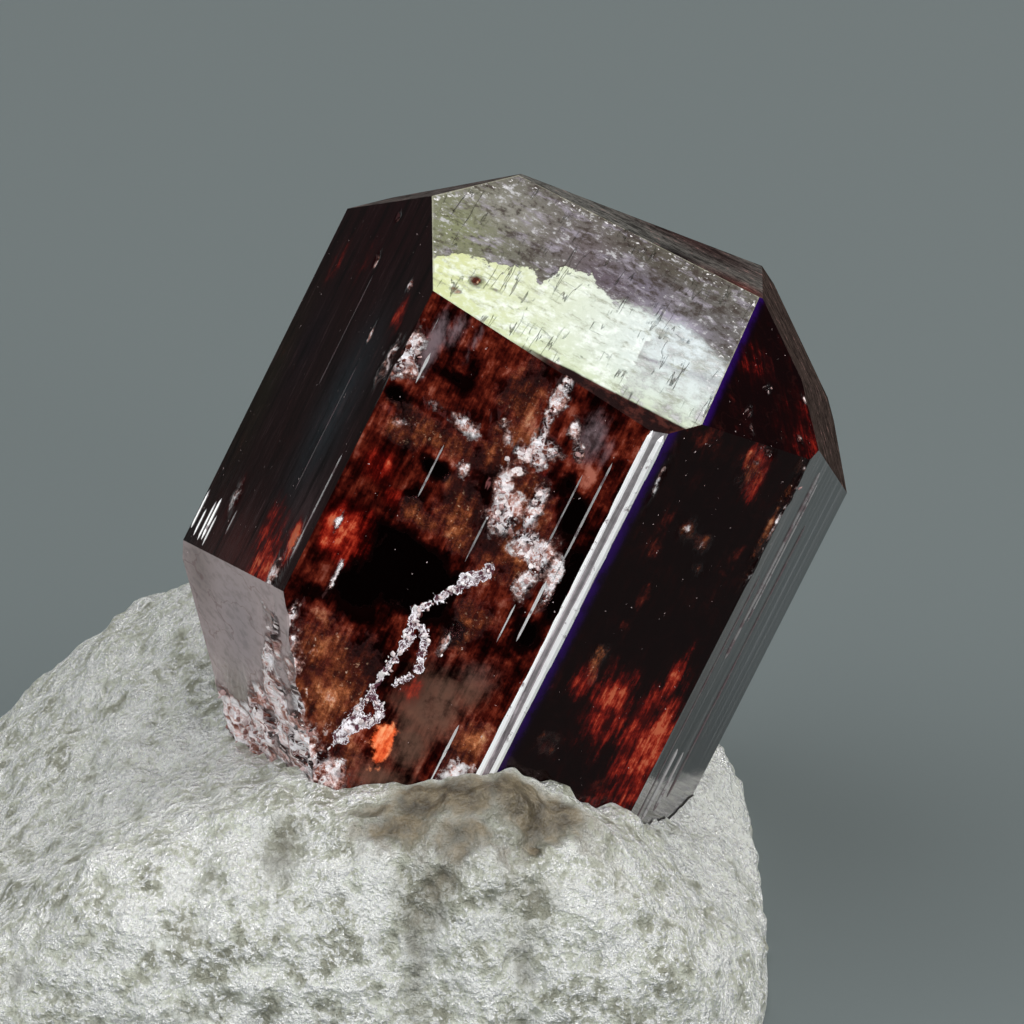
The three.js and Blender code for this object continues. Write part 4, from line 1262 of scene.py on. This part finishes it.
# Painted light: places made lighter.
PAINTED_LIGHT_SPOTS = [
    (-2.88, -6.85, 0.35, 0.15, 1.2), (-2.5, -6.95, 0.2, 0.12, 1.0), (0.26, -6.37, 0.2, 0.15, 0.9),
    (5.6, 1.5, 1.4, 2.5, 1.4), (5.2, -2.0, 1.2, 2.0, 1.0), (-3.5, -6.9, 0.8, 0.2, 0.6),
    (-3.5, -2.0, 2.5, 4.0, 0.75), (-2.0, -7.4, 4.0, 0.35, 0.9)]
stone_co = np.zeros(len(stone.data.vertices) * 3)
stone.data.vertices.foreach_get("co", stone_co)
stone_co = stone_co.reshape(-1, 3) / MM


def spots_on_stone(spots):
    """The strongest of the soft spots on the upper part of the stone, seen from above."""
    strength = [most * bell(stone_co[:, 0], stone_co[:, 1], *spot) for *spot, most in spots]
    return np.max(strength, axis=0) * (stone_co[:, 2] > 0.5)


lumps_seen = np.clip(0.5 + 0.5 * rough_noise(stone_co, 0.45, 3, seed=21), 0, 1)
colour_attribute(stone, "stone_marks", np.column_stack(
    [spots_on_stone(SHADE_UNDER_CRYSTAL), spots_on_stone(HOLLOW_SHADE), spots_on_stone(PAINTED_LIGHT_SPOTS), lumps_seen]))
print("marks stored on", len(stone_co), "points of the stone")

# %% [markdown]
# ## The marble's finish
# White calcite with a cast of green. Light goes a little way into it, so it gets subsurface scattering.
# Rounded cells stand for the grains of calcite: each has its own tone. The tone also follows the wrinkles
# that make the relief, so their low places are painted darker, as painted shade. Where the noises are
# highest, white glints are painted on, with a little metal in their shine.

# %% Make the marble's finish
calcite = Finish("marble")
stone_place = calcite.millimetres()
shade_under_crystal, hollow_shade, white, high_up, _ = calcite.attribute("stone_marks")
wrinkle = stone_place.grain(3.4, 6, 0.62)
sugar_fine = stone_place.grain(11.0, 3, 0.6)
sugar_place = stone_place.moved(stone_place.grain(6.0, 2.0, 0.5, "Color"), 0.15)
sugary = sugar_place.cell_chance(10.0) * 0.6 + sugar_place.cell_chance(19.0) * 0.4
shaded_under_crystal = shade_under_crystal.broken(wrinkle, 0.8, 0.1, 0.9)
hollow_shading = hollow_shade.broken(wrinkle, 1.6, 0.2, 1.1)
painted_lighter = white.broken(wrinkle, 1.8, 0.3, 0.9)

# Tone of the grains, and painted shade where the wrinkles of the relief are low.
grain_tone_and_shade = wrinkle * 0.55 + stone_place.grain(0.8, 5, 0.6) * 0.2 + high_up * 0.25 + (sugary * 0.16 - 0.07)
stone_tint = grain_tone_and_shade.ramp(
    (0.36, (0.33, 0.33, 0.26)), (0.45, (0.55, 0.56, 0.47)), (0.53, (0.72, 0.74, 0.65)),
    (0.62, (0.92, 0.94, 0.89)))
# Painted white glints.
painted_glint = (high_up * 0.1 + (wrinkle * 0.5 + sugar_fine * 0.7)).step(0.65, 0.68)
painted_glint = painted_glint.at_least((wrinkle + sugary).step(1.12, 1.18, 0.0, 0.9)) * (1.0 - shaded_under_crystal.at_least(hollow_shading))
for amount, colour in ((hollow_shading * 0.8, (0.2, 0.185, 0.145)), (painted_lighter * 0.9, (0.95, 0.97, 0.92)),
                       (painted_glint, (1.0, 1.0, 0.98)),
                       (shaded_under_crystal, wrinkle.ramp((0.4, (0.065, 0.05, 0.03)), (0.6, (0.21, 0.17, 0.11))))):
    stone_tint = amount.blend(stone_tint, colour)
stone_height = (wrinkle * 0.6 + sugar_fine * 0.32 + sugary * 0.12) * shaded_under_crystal.step(0.0, 1.0, 1.0, 0.35)
calcite.surface({
    "Base Color": stone_tint, "Roughness": painted_glint.step(0.0, 1.0, 0.3, 0.18), "IOR": 1.6,
    "Metallic": painted_glint * 0.45, "Normal": stone_height.relief(0.45),
    "Subsurface Weight": 0.2, "Subsurface Radius": (0.5, 0.5, 0.42), "Subsurface Scale": 0.0006,
})
stone.data.materials.clear()
stone.data.materials.append(calcite.material)
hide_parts("marble_matrix")
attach(stone, "root")

# %% [markdown]
# ## Floor
# The floor is a plain sheet of pale grey paper. It lies a hair below the stone's flat base, because
# two surfaces in the same plane would flicker where they meet. It is stage, not part of the object.

# %% Floor
REACH, BELOW = 3.0, -0.00002
floor_mesh = bpy.data.meshes.new("floor")
floor_corners = [(x * REACH, y * REACH, BELOW) for x, y in ((-1, -1), (1, -1), (1, 1), (-1, 1))]
floor_mesh.from_pydata(floor_corners, [], [(0, 1, 2, 3)])
floor = bpy.data.objects.new("floor", floor_mesh)
bpy.context.scene.collection.objects.link(floor)
paper = Finish("paper")
paper.surface({"Base Color": (0.142, 0.166, 0.169, 1), "Roughness": 0.9, "IOR": 1.3})
floor.data.materials.append(paper.material)
print("the floor is", 2 * REACH, "m wide")

# %% [markdown]
# ## Lights
# A large soft box stands high behind and to the right, just where the bright end face mirrors it to
# the camera. Others fill from the left and the right, and a narrow strip stands where the front edge
# mirrors it. A face as smooth as glass shows only what it mirrors, so these boxes draw its shine.

# %% Lights
def soft_box(name, azimuth, elevation, distance, width, height, radiance, colour):
    """An area light of a given brightness, facing the crystal. Power = radiance x pi x area."""
    light = bpy.data.lights.new(name, "AREA")
    light.shape, light.size, light.size_y = "RECTANGLE", width, height
    light.energy = radiance * math.pi * width * height
    light.color = colour
    lamp = bpy.data.objects.new(name, light)
    a, e = math.radians(azimuth), math.radians(elevation)
    away = Vector((math.sin(a) * math.cos(e), -math.cos(a) * math.cos(e), math.sin(e)))
    lamp.location = Vector(AIM) * MM + away * distance
    lamp.rotation_euler = away.to_track_quat("Z", "Y").to_euler()
    bpy.context.scene.collection.objects.link(lamp)
    print(f"{name}: {light.energy:.2f} watts")


soft_box("sky_box", 139, 54, 0.8, 0.42, 0.34, 4.0, (1.0, 0.99, 0.95))
soft_box("left_box", -45, 55, 0.9, 1.2, 0.9, 1.9, (0.97, 0.99, 1.0))
soft_box("left_fill", -70, 9, 0.9, 0.7, 0.5, 2.0, (1.0, 1.0, 0.97))
soft_box("right_box", 62, 42, 0.9, 0.8, 0.6, 3.7, (1.0, 1.0, 0.98))
soft_box("low_strip", 27, 10, 0.9, 0.16, 0.34, 12.0, (1.0, 1.0, 1.0))

world = bpy.data.worlds.new("room")
world.use_nodes = True
backdrop = world.node_tree.nodes["Background"].inputs
backdrop["Color"].default_value = (0.82, 0.9, 0.9, 1)
backdrop["Strength"].default_value = 0.045
bpy.context.scene.world = world
bpy.context.scene.view_settings.view_transform = "Standard"
